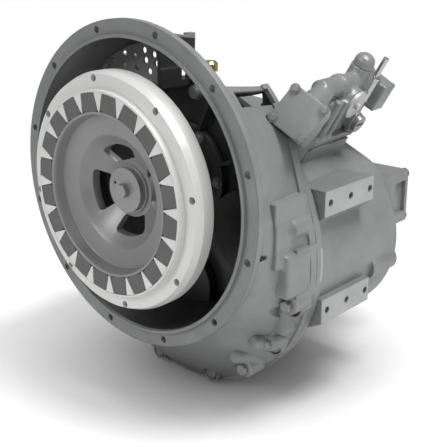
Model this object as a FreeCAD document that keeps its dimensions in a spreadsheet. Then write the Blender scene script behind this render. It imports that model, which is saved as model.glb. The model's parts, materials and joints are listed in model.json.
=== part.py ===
"""Marine reverse-reduction gearbox with a bell housing and a rubber-block drive ring.

Frame: origin at the centre of the bell flange's mounting face, +Z up, +Y from the engine
towards the propeller. The input axis is the Y axis. Lengths are millimetres.
"""
import FreeCAD, Part
import math
import os
import Sketcher

SIZES = [
    ("flange_rad", 244.5, "bell flange, outer radius"),
    ("flange_thick", 11, "bell flange, thickness"),
    ("pilot_rad", 223.84, "raised pilot ring, outer radius"),
    ("pilot_high", 4.5, "raised pilot ring, height"),
    ("mouth_rad", 218.4, "bell mouth, radius inside the pilot"),
    ("bell_bolt_rad", 233.36, "bell flange bolt circle, radius"),
    ("bell_bolt_hole", 5.3, "bell flange bolt hole, radius"),
    ("bell_bolts", 12, "bell flange bolts"),
    ("joint_at", 130, "joint face between bell and case, distance from the flange face"),
    ("barrel_front", 232, "bell barrel, outer radius at the flange"),
    ("barrel_rear", 213, "bell barrel, outer radius at the joint"),
    ("shell", 9, "casting wall"),
    ("wall_thick", 12, "bell rear wall"),
    ("skirt_drop", 100, "centre of the joint flange's lower arc, below the input axis"),
    ("skirt_rad", 246, "joint flange, lower arc radius"),
    ("lip", 3.5, "joint lip that stands out of the walls"),
    ("joint_flange", 14, "joint flange, thickness on each casting"),
    ("rim_top", 150, "main case joint flange, top arc radius"),
    ("case_len", 230, "main case, length"),
    ("case_top_front", 140, "main case, top arc radius at the front"),
    ("case_top_rear", 76, "main case, top arc radius at the rear"),
    ("case_gear_front", 96, "main case, arc radius about the reverse axis at the front"),
    ("case_gear_rear", 81, "main case, arc radius about the reverse axis at the rear"),
    ("case_side_x", 89, "main case, side arc centre, sideways"),
    ("case_side_drop", 119, "main case, side arc centre, below the input axis"),
    ("case_side_rad", 150, "main case, side arc radius"),
    ("case_low_rad", 146, "main case, sump arc radius"),
    ("rear_wall", 14, "main case, rear wall"),
    ("pad_x", 245, "side mounting pads, distance of the face from the centre plane"),
    ("pad_start", 147, "side mounting pads, front end"),
    ("pad_len", 125, "side mounting pads, length"),
    ("pad_high", 38, "side mounting pads, height of the face"),
    ("pad_row_top", -10, "upper mounting hole row, height"),
    ("pad_row_gap", 166, "distance between the two mounting hole rows"),
    ("pad_hole_start", 161, "first mounting hole, distance from the flange face"),
    ("pad_hole_pitch", 50.8, "mounting hole spacing"),
    ("pad_hole_rad", 5.4, "mounting hole, tapping radius"),
    ("pad_hole_deep", 28, "mounting hole, depth"),
    ("drive_mod", 5, "gear module"),
    ("transfer_teeth", 30, "teeth of each transfer gear"),
    ("pinion_teeth", 23, "teeth of each drive pinion"),
    ("output_teeth", 48, "teeth of the output gear"),
    ("backlash", 0.3, "thinning of each gear tooth"),
    ("transfer_at", 148, "transfer gears, front face"),
    ("transfer_wide", 24, "transfer gears, face width"),
    ("clutch_at", 176, "clutch drums, front face"),
    ("clutch_len", 60, "clutch drums, length"),
    ("clutch_rad", 66, "clutch drums, outer radius"),
    ("clutch_wall", 6, "clutch drums, wall"),
    ("plate_count", 8, "clutch plates in each drum"),
    ("plate_thick", 3, "clutch plate, thickness"),
    ("plate_pitch", 6, "clutch plate spacing"),
    ("sleeve_rad", 36, "clutch hub sleeve of a pinion, outer radius"),
    ("pinion_at", 242, "drive pinions, front face"),
    ("pinion_wide", 44, "drive pinions, face width"),
    ("shaft_rad", 27.5, "input and reverse shaft, bearing journal radius"),
    ("shoulder_rad", 32, "shaft shoulder, radius"),
    ("race_in", 34, "shaft bearing, inner race outer radius"),
    ("race_out", 44, "shaft bearing, outer race inner radius"),
    ("bearing_rad", 52, "shaft bearing, outside radius"),
    ("bearing_wide", 21, "shaft bearing, width"),
    ("bearing_front", 108, "front bearings, front face"),
    ("pin_rad", 6, "pump idler pin, radius"),
    ("roller_count", 8, "rollers in each bearing"),
    ("fit_gap", 0.03, "radial fit clearance of shafts and bearings"),
    ("roller_gap", 0.08, "radial running clearance of a roller"),
    ("big_shaft_rad", 35, "output shaft, radius at the gear"),
    ("big_journal", 32.5, "output shaft, rear journal radius"),
    ("big_race_in", 41, "output bearing, inner race outer radius"),
    ("big_race_out", 53, "output bearing, outer race inner radius"),
    ("big_bearing_rad", 62, "output bearing, outside radius"),
    ("big_bearing_wide", 27, "output bearing, width"),
    ("boss_wall", 12, "wall of a bearing boss"),
    ("carrier_rad", 84, "input bearing carrier and output cover, flange radius"),
    ("carrier_thick", 10, "bearing carrier, flange thickness"),
    ("seal_rad", 40, "input oil seal, outer radius"),
    ("seal_wide", 9, "oil seal, width"),
    ("ring_rad", 176.21, "driving ring, outer radius"),
    ("ring_bolt_rad", 166.69, "driving ring bolt circle, radius"),
    ("ring_bolt_hole", 5.3, "driving ring bolt hole, radius"),
    ("ring_bolts", 8, "driving ring bolts"),
    ("ring_back", -11, "driving ring, rear face"),
    ("ring_face", -41, "driving ring, bolt face"),
    ("ring_nose", -52, "driving ring, front face of the toothed rim"),
    ("ring_nose_rad", 151, "driving ring, toothed rim radius"),
    ("block_out", 148, "rubber blocks, outer radius"),
    ("block_in", 121, "rubber blocks, inner radius"),
    ("block_count", 20, "rubber blocks"),
    ("block_wide", 31, "rubber blocks, width at the outside"),
    ("block_narrow", 27, "rubber blocks, width at the hub"),
    ("block_gap", 0.25, "gap between a rubber block and the metal"),
    ("hub_rim", 124, "hub, outer radius between the blocks"),
    ("hub_lip", 115, "hub, radius inside the rim lip"),
    ("hub_dish", 112, "hub, radius of the dish step"),
    ("hub_mouth", 85, "hub, mouth of the centre recess"),
    ("hub_floor_rad", 78, "hub, floor radius of the centre recess"),
    ("hub_boss_rad", 37, "hub, centre boss radius"),
    ("hub_rear", 44, "hub, rear end of the centre boss"),
    ("hub_bore", 22, "hub bore radius"),
    ("window_wide", 54, "angle of each hub window, degrees"),
    ("retainer_rad", 33.5, "hub retaining plate, radius"),
    ("cover_thick", 18, "rear cover, thickness"),
    ("cover_rad", 72, "rear cover, radius round each shaft"),
    ("tail_rad", 9, "pump drive tail of the reverse shaft, radius"),
    ("pump_half", 46, "pump body, half of its square side"),
    ("pump_len", 52, "pump body, length"),
    ("pump_mod", 3, "pump gear module"),
    ("pump_teeth", 12, "teeth of each pump gear"),
    ("pump_gear_wide", 30, "pump gears, face width"),
    ("pump_end_len", 56, "pump valve block, length"),
    ("coupling_rad", 73, "output flange, outer radius"),
    ("coupling_bolt_rad", 60.325, "output flange bolt circle, radius"),
    ("coupling_hole", 6.75, "output flange bolt hole, radius"),
    ("coupling_bolts", 6, "output flange bolts"),
    ("coupling_pilot", 47.6, "output flange pilot, radius"),
    ("coupling_face", 425, "output flange, mating face"),
    ("coupling_thick", 13, "output flange, thickness"),
    ("screw_rad", 6, "case screw, shank radius"),
    ("screw_head", 10, "case screw, head radius"),
    ("screw_high", 8, "case screw, head height"),
    ("small_screw", 4, "small screw, shank radius"),
    ("small_head", 6.8, "small screw, head radius"),
    ("small_high", 5, "small screw, head height"),
    ("strainer_half", 31, "strainer cover, half of its square side"),
    ("strainer_thick", 8, "strainer cover, thickness"),
    ("strainer_boss", 29, "strainer boss, radius"),
    ("barrel_len", 118, "valve barrel, length"),
    ("barrel_rad", 20, "valve barrel, radius"),
    ("spool_rad", 10, "selector spool, radius"),
    ("stem_rad", 4.5, "selector stem, radius"),
    ("stem_high", 47, "selector stem, top above the valve axis"),
    ("stick_rad", 2.5, "dipstick, radius"),
    ("tube_rad", 8, "dipstick tube, outer radius"),
    ("web_at", 67.5, "front face of the web that carries the vent screen"),
    ("web_thick", 9, "vent screen web, thickness"),
    ("web_low", 138, "vent screen web, inner radius"),
    ("vent_low", 152, "vent opening, inner radius"),
    ("vent_top", 206, "vent opening, outer radius"),
    ("vent_first", 90, "vent opening, angle of one side"),
    ("vent_last", 123.5, "vent opening, angle of the other side"),
    ("vent_hole", 4.8, "vent screen perforation, radius"),
    ("screen_thick", 3, "vent screen, thickness"),
    ("gasket_thick", 0.8, "case gasket, thickness"),
]


class Dim:
    """A size that knows its value now and the sheet formula that gives it."""

    def __init__(self, value, text):
        self.value = float(value)
        self.text = text

    def __add__(self, other):
        other = as_dim(other)
        return Dim(self.value + other.value, f"({self.text} + {other.text})")

    def __sub__(self, other):
        other = as_dim(other)
        return Dim(self.value - other.value, f"({self.text} - {other.text})")

    def __mul__(self, other):
        other = as_dim(other)
        return Dim(self.value * other.value, f"({self.text} * {other.text})")

    def __truediv__(self, other):
        other = as_dim(other)
        return Dim(self.value / other.value, f"({self.text} / {other.text})")

    def __neg__(self):
        return as_dim(0) - self

    def __radd__(self, other):
        return as_dim(other) + self

    def __rsub__(self, other):
        return as_dim(other) - self

    def __rmul__(self, other):
        return as_dim(other) * self


def as_dim(number):
    """Return a plain number as a Dim, and a Dim unchanged."""
    if isinstance(number, Dim):
        return number
    return Dim(number, f"{float(number):.9g}")


def cosine(angle):
    """Cosine of an angle in degrees."""
    angle = as_dim(angle)
    return Dim(math.cos(math.radians(angle.value)), f"cos({angle.text})")


def sine(angle):
    """Sine of an angle in degrees."""
    angle = as_dim(angle)
    return Dim(math.sin(math.radians(angle.value)), f"sin({angle.text})")


def root(number):
    """Square root of a size."""
    return Dim(math.sqrt(number.value), f"sqrt({number.text})")


def make_sheet(doc):
    """Write the driving dimensions to a spreadsheet and return them as named sizes."""
    sheet = doc.addObject("Spreadsheet::Sheet", "Sizes")
    names = {}
    for row, (name, value, note) in enumerate(SIZES, start=1):
        sheet.set(f"A{row}", name)
        sheet.set(f"B{row}", str(value))
        sheet.set(f"C{row}", note)
        sheet.setAlias(f"B{row}", name)
        names[name] = Dim(value, f"Sizes.{name}")
    doc.recompute()
    return names


DOC = FreeCAD.newDocument("MarineGearbox")
D = type("Sizes", (), make_sheet(DOC))

TRANSFER_RAD = D.drive_mod * D.transfer_teeth / 2
PINION_RAD = D.drive_mod * D.pinion_teeth / 2
OUTPUT_RAD = D.drive_mod * D.output_teeth / 2
OUTPUT_DROP = PINION_RAD + OUTPUT_RAD
REVERSE_DROP = TRANSFER_RAD * TRANSFER_RAD * 2 / OUTPUT_DROP
REVERSE_X = root(TRANSFER_RAD * TRANSFER_RAD * 4 - REVERSE_DROP * REVERSE_DROP)
INPUT = (as_dim(0), as_dim(0))
REVERSE = (REVERSE_X, -REVERSE_DROP)
OUTPUT = (as_dim(0), -OUTPUT_DROP)
CASE_AT = D.joint_at + D.gasket_thick
CASE_END = D.joint_at + D.case_len
CASE_FLANGE_END = CASE_AT + D.joint_flange
WALL_FACE = D.joint_at - D.wall_thick
CARRIER_BORE = D.bearing_rad + 10
REAR_BEARING = CASE_END - D.bearing_wide
BIG_BEARING = CASE_END - D.big_bearing_wide
COVER_END = CASE_END + D.cover_thick
PUMP_END = COVER_END + D.pump_len
UPRIGHT = FreeCAD.Rotation()
ALONG_Y = FreeCAD.Rotation(FreeCAD.Vector(1, 0, 0), -90)


def origin_part(body, role):
    """Return one of the body's own origin planes or axes."""
    return [part for part in body.Origin.OriginFeatures if part.Role == role][0]


def new_body(label, axis=INPUT):
    """Start a body whose own Y axis lies on the given shaft axis."""
    body = DOC.addObject("PartDesign::Body", label)
    body.Label = label
    for direction, size in zip(("x", "z"), axis):
        body.setExpression(f"Placement.Base.{direction}", size.text)
    return body


def sketch_on(body, role, name, offset):
    """Start a sketch on one of the body's origin planes, moved along its normal."""
    sketch = body.newObject("Sketcher::SketchObject", name)
    sketch.AttachmentSupport = [(origin_part(body, role), "")]
    sketch.MapMode = "FlatFace"
    sketch.AttachmentOffset = FreeCAD.Placement(FreeCAD.Vector(0, 0, offset.value), UPRIGHT)
    sketch.setExpression("AttachmentOffset.Base.z", offset.text)
    return sketch


def section(body, name, at):
    """Start a sketch across the Y axis at the given distance from the flange face."""
    return sketch_on(body, "XZ_Plane", name, -as_dim(at))


def bind(sketch, constraint, size):
    """Add a dimension and tie it to the sheet."""
    index = sketch.addConstraint(constraint)
    sketch.setExpression(f"Constraints[{index}]", size.text)


def pin_point(sketch, geometry, end, across, up):
    """Fix a point of the sketch at the given distances from its origin."""
    across = as_dim(across)
    up = as_dim(up)
    bind(sketch, Sketcher.Constraint("DistanceX", -1, 1, geometry, end, across.value), across)
    bind(sketch, Sketcher.Constraint("DistanceY", -1, 1, geometry, end, up.value), up)


def draw_circle(sketch, across, up, radius):
    """Draw a circle of a tied centre and radius."""
    across = as_dim(across)
    up = as_dim(up)
    centre = FreeCAD.Vector(across.value, up.value, 0)
    index = sketch.addGeometry(Part.Circle(centre, FreeCAD.Vector(0, 0, 1), radius.value))
    pin_point(sketch, index, 3, across, up)
    bind(sketch, Sketcher.Constraint("Radius", index, radius.value), radius)


def draw_polygon(sketch, points):
    """Draw a closed outline of straight edges through tied corners."""
    corners = [(as_dim(across), as_dim(up)) for across, up in points]
    places = [FreeCAD.Vector(across.value, up.value, 0) for across, up in corners]
    ends = places[1:] + places[:1]
    lines = [sketch.addGeometry(Part.LineSegment(a, b)) for a, b in zip(places, ends)]
    for line, follower in zip(lines, lines[1:] + lines[:1]):
        sketch.addConstraint(Sketcher.Constraint("Coincident", line, 2, follower, 1))
    for line, (across, up) in zip(lines, corners):
        pin_point(sketch, line, 1, across, up)


def edge_angle(start, end):
    """Direction of the outer tangent's normal, from one circle to the next one round."""
    run = end[0].value - start[0].value
    rise = end[1].value - start[1].value
    lean = math.asin((start[2].value - end[2].value) / math.hypot(run, rise))
    return math.atan2(rise, run) - math.pi / 2 + lean


def draw_hull(sketch, circles):
    """Draw the outline stretched round circles (across, up, radius), listed anticlockwise."""
    circles = [tuple(as_dim(size) for size in circle) for circle in circles]
    pairs = list(zip(circles, circles[1:] + circles[:1]))
    angles = [edge_angle(start, end) for start, end in pairs]
    arcs = []
    for (across, up, radius), first, last in zip(circles, angles[-1:] + angles[:-1], angles):
        if last < first:
            last += 2 * math.pi
        centre = FreeCAD.Vector(across.value, up.value, 0)
        circle = Part.Circle(centre, FreeCAD.Vector(0, 0, 1), radius.value)
        arcs.append(sketch.addGeometry(Part.ArcOfCircle(circle, first, last)))
    for index, (start, end) in enumerate(pairs):
        outward = FreeCAD.Vector(math.cos(angles[index]), math.sin(angles[index]), 0)
        ends = [
            FreeCAD.Vector(across.value, up.value, 0) + outward * radius.value
            for across, up, radius in (start, end)
        ]
        line = sketch.addGeometry(Part.LineSegment(*ends))
        follower = arcs[(index + 1) % len(arcs)]
        sketch.addConstraint(Sketcher.Constraint("Tangent", arcs[index], 2, line, 1))
        sketch.addConstraint(Sketcher.Constraint("Tangent", line, 2, follower, 1))
    for arc, (across, up, radius) in zip(arcs, circles):
        pin_point(sketch, arc, 3, across, up)
        bind(sketch, Sketcher.Constraint("Radius", arc, radius.value), radius)


def draw_sector(sketch, inner, outer, first, last):
    """Draw a ring sector about the sketch origin between two angles in degrees."""
    sides = []
    for angle in (first, last):
        out = FreeCAD.Vector(cosine(angle).value, sine(angle).value, 0)
        line = sketch.addGeometry(Part.LineSegment(out * inner.value, out * outer.value))
        pin_point(sketch, line, 1, inner * cosine(angle), inner * sine(angle))
        pin_point(sketch, line, 2, outer * cosine(angle), outer * sine(angle))
        sides.append(line)
    for radius, end in ((inner, 1), (outer, 2)):
        circle = Part.Circle(FreeCAD.Vector(0, 0, 0), FreeCAD.Vector(0, 0, 1), radius.value)
        turn = [math.radians(as_dim(angle).value) for angle in (first, last)]
        arc = sketch.addGeometry(Part.ArcOfCircle(circle, *turn))
        sketch.addConstraint(Sketcher.Constraint("Coincident", arc, 1, sides[0], end))
        sketch.addConstraint(Sketcher.Constraint("PointOnObject", arc, 2, sides[1]))
        sketch.addConstraint(Sketcher.Constraint("Coincident", arc, 3, -1, 1))


def pad(body, name, sketch, length):
    """Pad a section towards +Y."""
    feature = body.newObject("PartDesign::Pad", name)
    feature.Profile = sketch
    feature.Reversed = True
    feature.setExpression("Length", as_dim(length).text)
    return feature


def pocket(body, name, sketch, length):
    """Cut a section away towards +Y."""
    feature = body.newObject("PartDesign::Pocket", name)
    feature.Profile = sketch
    feature.setExpression("Length", as_dim(length).text)
    return feature


def disc(body, name, radius, start, end, across=0, up=0, hole=None):
    """Pad a round disc or ring from start to end along Y."""
    sketch = section(body, f"{name}_outline", start)
    draw_circle(sketch, across, up, radius)
    if hole is not None:
        draw_circle(sketch, across, up, hole)
    return pad(body, name, sketch, end - start)


def drill(body, name, radius, start, end, places=((0, 0),)):
    """Cut round holes from start to end along Y."""
    sketch = section(body, f"{name}_outline", start)
    for across, up in places:
        draw_circle(sketch, across, up, radius)
    return pocket(body, name, sketch, end - start)


def slab(body, name, points, start, end):
    """Pad a straight-edged section from start to end along Y."""
    sketch = section(body, f"{name}_outline", start)
    draw_polygon(sketch, points)
    return pad(body, name, sketch, end - start)


def turned(body, name, points, kind="PartDesign::Revolution"):
    """Turn a half profile of (radius, distance along Y) corners about the Y axis."""
    sketch = sketch_on(body, "XY_Plane", f"{name}_profile", as_dim(0))
    draw_polygon(sketch, points)
    feature = body.newObject(kind, name)
    feature.Profile = sketch
    feature.ReferenceAxis = (sketch, ["V_Axis"])
    feature.Angle = 360
    return feature


def loft(body, name, front, rear, kind="PartDesign::AdditiveLoft"):
    """Join two hull outlines, each (distance along Y, circles), with straight rulings."""
    outlines = []
    for end, (at, circles) in zip(("front", "rear"), (front, rear)):
        sketch = section(body, f"{name}_{end}", at)
        draw_hull(sketch, circles)
        outlines.append(sketch)
    feature = body.newObject(kind, name)
    feature.Profile = outlines[0]
    feature.Sections = outlines[1:]
    feature.Ruled = True
    return feature


def repeat(body, feature, count):
    """Repeat a feature evenly round the body's Y axis."""
    pattern = body.newObject("PartDesign::PolarPattern", f"{feature.Name}_round")
    pattern.Originals = [feature]
    pattern.Axis = (origin_part(body, "Y_Axis"), [""])
    pattern.Angle = 360
    pattern.setExpression("Occurrences", count.text)
    body.Tip = pattern
    return pattern


def primitive(body, kind, name, place, **sizes):
    """Add or cut a box or cylinder at a placement in the body."""
    feature = body.newObject(f"PartDesign::{kind}", name)
    for key, size in sizes.items():
        feature.setExpression(key, as_dim(size).text)
    feature.Placement = place
    return feature


def polar(radius, angle, centre=(0, 0)):
    """Point on a circle, angle in degrees from +X towards +Z."""
    return (centre[0] + radius * cosine(angle), centre[1] + radius * sine(angle))


JOINT_CENTRE = (as_dim(0), -D.skirt_drop)
JOINT_SCREWS = [
    polar(D.skirt_rad - 14, angle, JOINT_CENTRE)
    for angle in (14.5, -15, -35, -55, -75, -105, -125, -145, -165, 165.5)
]
INNER_SCREWS = [polar(D.skirt_rad - 14, angle, JOINT_CENTRE) for angle in (40, 65, 84, 120, 140)]

def joint_outline(inset):
    """Outline of the joint flange, moved inwards by a distance."""
    return [
        (0, -D.skirt_drop, D.skirt_rad - inset),
        (0, 0, D.barrel_rear + D.lip - inset),
    ]


def rim_outline(inset):
    """Outline of the main case's joint flange, moved inwards by a distance."""
    return [(0, -D.skirt_drop, D.skirt_rad - inset), (0, 0, D.rim_top - inset)]


def case_outline(top, gear_side, inset):
    """Outline of the main case wall, moved inwards by a distance."""
    side = D.case_side_rad - inset
    return [
        (D.case_side_x, -D.case_side_drop, side),
        (REVERSE[0], REVERSE[1], gear_side - inset),
        (0, 0, top - inset),
        (-D.case_side_x, -D.case_side_drop, side),
        (0, -OUTPUT_DROP, D.case_low_rad - inset),
    ]


REARWARD = FreeCAD.Vector(0, 1, 0)
ACROSS_X = FreeCAD.Vector(1, 0, 0)
UP_Z = FreeCAD.Vector(0, 0, 1)
STRAINER_TURN = FreeCAD.Rotation(UP_Z, -61.1) * FreeCAD.Rotation(REARWARD, 67.8)
STRAINER_PLACE = FreeCAD.Placement(
    FreeCAD.Vector(216.1, 116, 121.4),
    STRAINER_TURN * FreeCAD.Rotation(UP_Z, 55.2) * ALONG_Y,
)
VALVE_PLACE = FreeCAD.Placement(
    FreeCAD.Vector(191.4, 200, 140.4),
    FreeCAD.Rotation(UP_Z, 5.7) * FreeCAD.Rotation(REARWARD, 30),
)
FACING_X = FreeCAD.Rotation(UP_Z, 90)
FACING_UP = FreeCAD.Rotation(ACROSS_X, -90)


def placed_body(label, place):
    """Start a body at a placement of its own."""
    body = DOC.addObject("PartDesign::Body", label)
    body.Label = label
    body.Placement = place
    return body


def screws(body, places, seat, grip, shank, head, high, towards_rear=False):
    """Round-headed screws: heads on a seat, shanks going the other way into the metal."""
    heads_at = seat if towards_rear else seat - high
    shanks_at = seat - grip if towards_rear else seat
    for name, start, length, radius in (
        ("heads", heads_at, high, head),
        ("shanks", shanks_at, grip, shank),
    ):
        sketch = section(body, f"{name}_outline", start)
        for across, up in places:
            draw_circle(sketch, across, up, radius)
        pad(body, name, sketch, length)
    return body


def mirrored(side, points):
    """Outline corners for one side of the gearbox, 1 for +X and -1 for -X."""
    return [(side * as_dim(across), up) for across, up in points]


SCREW_SEAT = D.joint_at - D.joint_flange - 3
OPENING_LOW = D.skirt_rad - 24
OPENING_TOP = D.rim_top - 24
CARRIER_SCREWS = [polar(D.carrier_rad - 10, angle) for angle in range(0, 360, 60)]
SCREEN_SCREWS = [polar(D.vent_low - 7, angle) for angle in (97, 110, 123)] + [polar(D.vent_top - 10, 126.4)]
VENT_ROWS = (
    (-21, 162.5, -27.6, 3, 4),
    (-5, 175, -23.5, 3.5, 4),
    (-10.5, 188, -20.5, 5, 2),
)
TOP_CUT = [
    (150, 112), (147, 150), (160, 165), (230, 237), (15, 300), (9, 170), (26, 162), (56, 147),
    (74, 140), (100, 129), (128, 116),
]
RIB_ANGLES = (20, 62, 160, 212, 328)
BOSS_START = D.bearing_front - 8


def bell_skin(body):
    """Outer skin from the round flange to the joint outline, hollowed from behind."""
    flange_at = D.joint_at - D.joint_flange
    front = D.barrel_front
    loft(
        body, "skin",
        (D.flange_thick, [(0, -6, front), (0, 0, front)]),
        (flange_at, joint_outline(D.lip)),
    )
    rim = section(body, "rim_outline", flange_at)
    draw_hull(rim, joint_outline(0))
    pad(body, "rim", rim, D.joint_flange)
    loft(
        body, "hollow",
        (D.flange_thick + D.shell, [(0, -6, front - D.shell), (0, 0, front - D.shell)]),
        (D.joint_at, joint_outline(D.lip + D.shell)),
        "PartDesign::SubtractiveLoft",
    )
    drill(body, "mouth", front - D.shell, 0, D.flange_thick + D.shell + 1)


def bell_barrel(body):
    """Flange, pilot, barrel and rear wall, turned about the input axis."""
    inset = D.shell + 3
    cover = D.shell / 2
    turned(body, "barrel", [
        (D.mouth_rad, -D.pilot_high),
        (D.pilot_rad, -D.pilot_high),
        (D.pilot_rad, 0),
        (D.flange_rad, 0),
        (D.flange_rad, D.flange_thick),
        (D.barrel_front - cover, D.flange_thick),
        (D.barrel_rear - cover, D.joint_at),
        (CARRIER_BORE + D.fit_gap, D.joint_at),
        (CARRIER_BORE + D.fit_gap, WALL_FACE),
        (D.barrel_rear - inset, WALL_FACE),
    ])


def bell_sides(body):
    """Blocks that back the joint screws on both sides."""
    out = D.skirt_rad - 1
    for side, name in ((1, "right"), (-1, "left")):
        column = [(D.skirt_rad - 40, -62), (out, -62), (out, -140), (D.skirt_rad - 40, -140)]
        slab(body, f"{name}_column", mirrored(side, column), D.joint_at - 46, D.joint_at)
        step = [(D.barrel_rear - 3, -3), (D.skirt_rad - 20, -12), (D.skirt_rad - 16, -29), (D.barrel_rear - 3, -29)]
        slab(body, f"{name}_step", mirrored(side, step), D.joint_at - 46, D.joint_at)


def bell_wall_details(body):
    """Front bearing bosses, ribs and side slot."""
    for name, (across, up) in (("reverse", REVERSE), ("output", OUTPUT)):
        disc(body, f"{name}_boss", D.bearing_rad + D.boss_wall, BOSS_START, D.joint_at, across, up)
    for index, angle in enumerate(RIB_ANGLES):
        turn = FreeCAD.Rotation(REARWARD, 90 - angle)
        corner = FreeCAD.Vector(-3, BOSS_START.value, D.carrier_rad.value + 2)
        primitive(
            body, "AdditiveBox", f"rib_{index}", FreeCAD.Placement(turn * corner, turn),
            Length=6, Width=D.wall_thick + 7, Height=D.barrel_rear - D.carrier_rad - 8,
        )
    for name, (across, up) in (("reverse", REVERSE), ("output", OUTPUT)):
        drill(body, f"{name}_seat", D.bearing_rad + D.fit_gap, D.bearing_front, D.joint_at, [(across, up)])
    turn = FreeCAD.Rotation(REARWARD, 49.7)
    primitive(
        body, "SubtractiveBox", "side_slot",
        FreeCAD.Placement(turn * FreeCAD.Vector(-12, 42, 196), turn),
        Length=24, Width=80, Height=60,
    )


def bell_bay(body):
    """Shallow bay at the top left: web, ledge, side walls and the vent opening."""
    web_end = D.web_at + D.web_thick
    for name, outer, start, end in (
        ("web", D.vent_top + 6, D.web_at, web_end),
        ("ledge", D.vent_low - 2, web_end, WALL_FACE),
    ):
        outline = section(body, f"{name}_outline", start)
        draw_sector(outline, D.web_low, outer, D.vent_first - 4, D.vent_last + 5.5)
        pad(body, name, outline, end - start)
    for name, angle, start, end in (
        ("right", D.vent_first - 2.4, 58, 100),
        ("left", D.vent_last + 3.3, 67.5, D.joint_at.value),
    ):
        turn = FreeCAD.Rotation(REARWARD, 90 - angle.value)
        primitive(
            body, "AdditiveBox", f"{name}_side",
            FreeCAD.Placement(turn * FreeCAD.Vector(-4.5, start, D.web_low.value + 2), turn),
            Length=9, Width=end - start, Height=D.vent_top + 2 - D.web_low,
        )
    behind = section(body, "behind_outline", web_end)
    draw_sector(behind, D.vent_low - 2, D.flange_rad + 20, D.vent_first, D.vent_last + 0.9)
    pocket(body, "behind", behind, D.joint_at - web_end)
    vent = section(body, "vent_outline", D.web_at)
    draw_sector(vent, D.vent_low, D.vent_top, D.vent_first, D.vent_last)
    pocket(body, "vent", vent, D.web_thick)
    top = section(body, "top_cut_outline", D.flange_thick + 5)
    draw_polygon(top, TOP_CUT)
    pocket(body, "top_cut", top, D.joint_at - D.flange_thick - 5)


def bell_notch(body):
    """Clearance round the main case's strainer boss."""
    half = D.strainer_half.value + 1.5
    primitive(
        body, "SubtractiveBox", "strainer_notch",
        STRAINER_PLACE * FreeCAD.Placement(FreeCAD.Vector(-half, -6, -half), UPRIGHT),
        Length=2 * half, Width=32, Height=2 * half,
    )
    primitive(
        body, "SubtractiveCylinder", "boss_notch",
        STRAINER_PLACE * FreeCAD.Placement(FreeCAD.Vector(0, 8, 0), ALONG_Y),
        Radius=D.strainer_boss + 1.5, Height=60,
    )


def bell_holes(body):
    """Joint screw bosses and pockets, and all the bolt holes."""
    for index, (across, up) in enumerate(JOINT_SCREWS):
        disc(body, f"screw_boss_{index}", D.screw_head + 5, SCREW_SEAT - 8, D.joint_at, across, up)
    drill(body, "screw_pockets", D.screw_head + 2.5, 56, SCREW_SEAT, JOINT_SCREWS)
    drill(body, "screw_holes", D.screw_rad + 0.3, 56, D.joint_at, JOINT_SCREWS + INNER_SCREWS)
    drill(body, "carrier_holes", D.small_screw + 0.05, WALL_FACE, D.joint_at - 1, CARRIER_SCREWS)
    drill(body, "screen_holes", D.small_screw - 0.95, D.web_at, D.web_at + D.web_thick - 1, SCREEN_SCREWS)
    hole = drill(
        body, "flange_hole", D.bell_bolt_hole, 0, D.flange_thick + 24,
        [polar(D.bell_bolt_rad, 15)],
    )
    repeat(body, hole, D.bell_bolts)


def bell_housing():
    """Bell housing casting."""
    body = new_body("bell_housing")
    bell_skin(body)
    bell_barrel(body)
    bell_sides(body)
    bell_wall_details(body)
    bell_bay(body)
    bell_notch(body)
    bell_holes(body)


def pad_holes(body, side):
    """Six tapped holes in the two mounting pads of one side."""
    sketch = sketch_on(body, "YZ_Plane", f"pad_holes_{'right' if side > 0 else 'left'}", side * D.pad_x)
    for row in (0, 1):
        for index in range(3):
            along = D.pad_hole_start + index * D.pad_hole_pitch
            draw_circle(sketch, along, D.pad_row_top - row * D.pad_row_gap, D.pad_hole_rad)
    feature = body.newObject("PartDesign::Pocket", f"{sketch.Name}_cut")
    feature.Profile = sketch
    feature.Reversed = side < 0
    feature.setExpression("Length", D.pad_hole_deep.text)


def case_pads(body):
    """Machined mounting pads with their webs, on both sides."""
    half = D.pad_high / 2
    low = D.pad_row_top - D.pad_row_gap
    for side, name in ((1, "right"), (-1, "left")):
        upper = [
            (150, D.pad_row_top + half), (D.pad_x, D.pad_row_top + half),
            (D.pad_x, D.pad_row_top - half), (D.pad_x - 25, D.pad_row_top - half - 19),
            (150, D.pad_row_top - half - 19),
        ]
        lower = [
            (150, low + half), (D.pad_x, low + half), (D.pad_x, low - half),
            (D.pad_x - 40, low - half - 20), (150, low - half - 20),
        ]
        slab(body, f"{name}_upper_pad", mirrored(side, upper), D.pad_start, D.pad_start + D.pad_len)
        slab(body, f"{name}_lower_pad", mirrored(side, lower), D.pad_start, D.pad_start + D.pad_len)
        disc(body, f"{name}_lug", as_dim(20), D.pad_start + D.pad_len + 20, CASE_END, side * as_dim(222), as_dim(-152))


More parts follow.
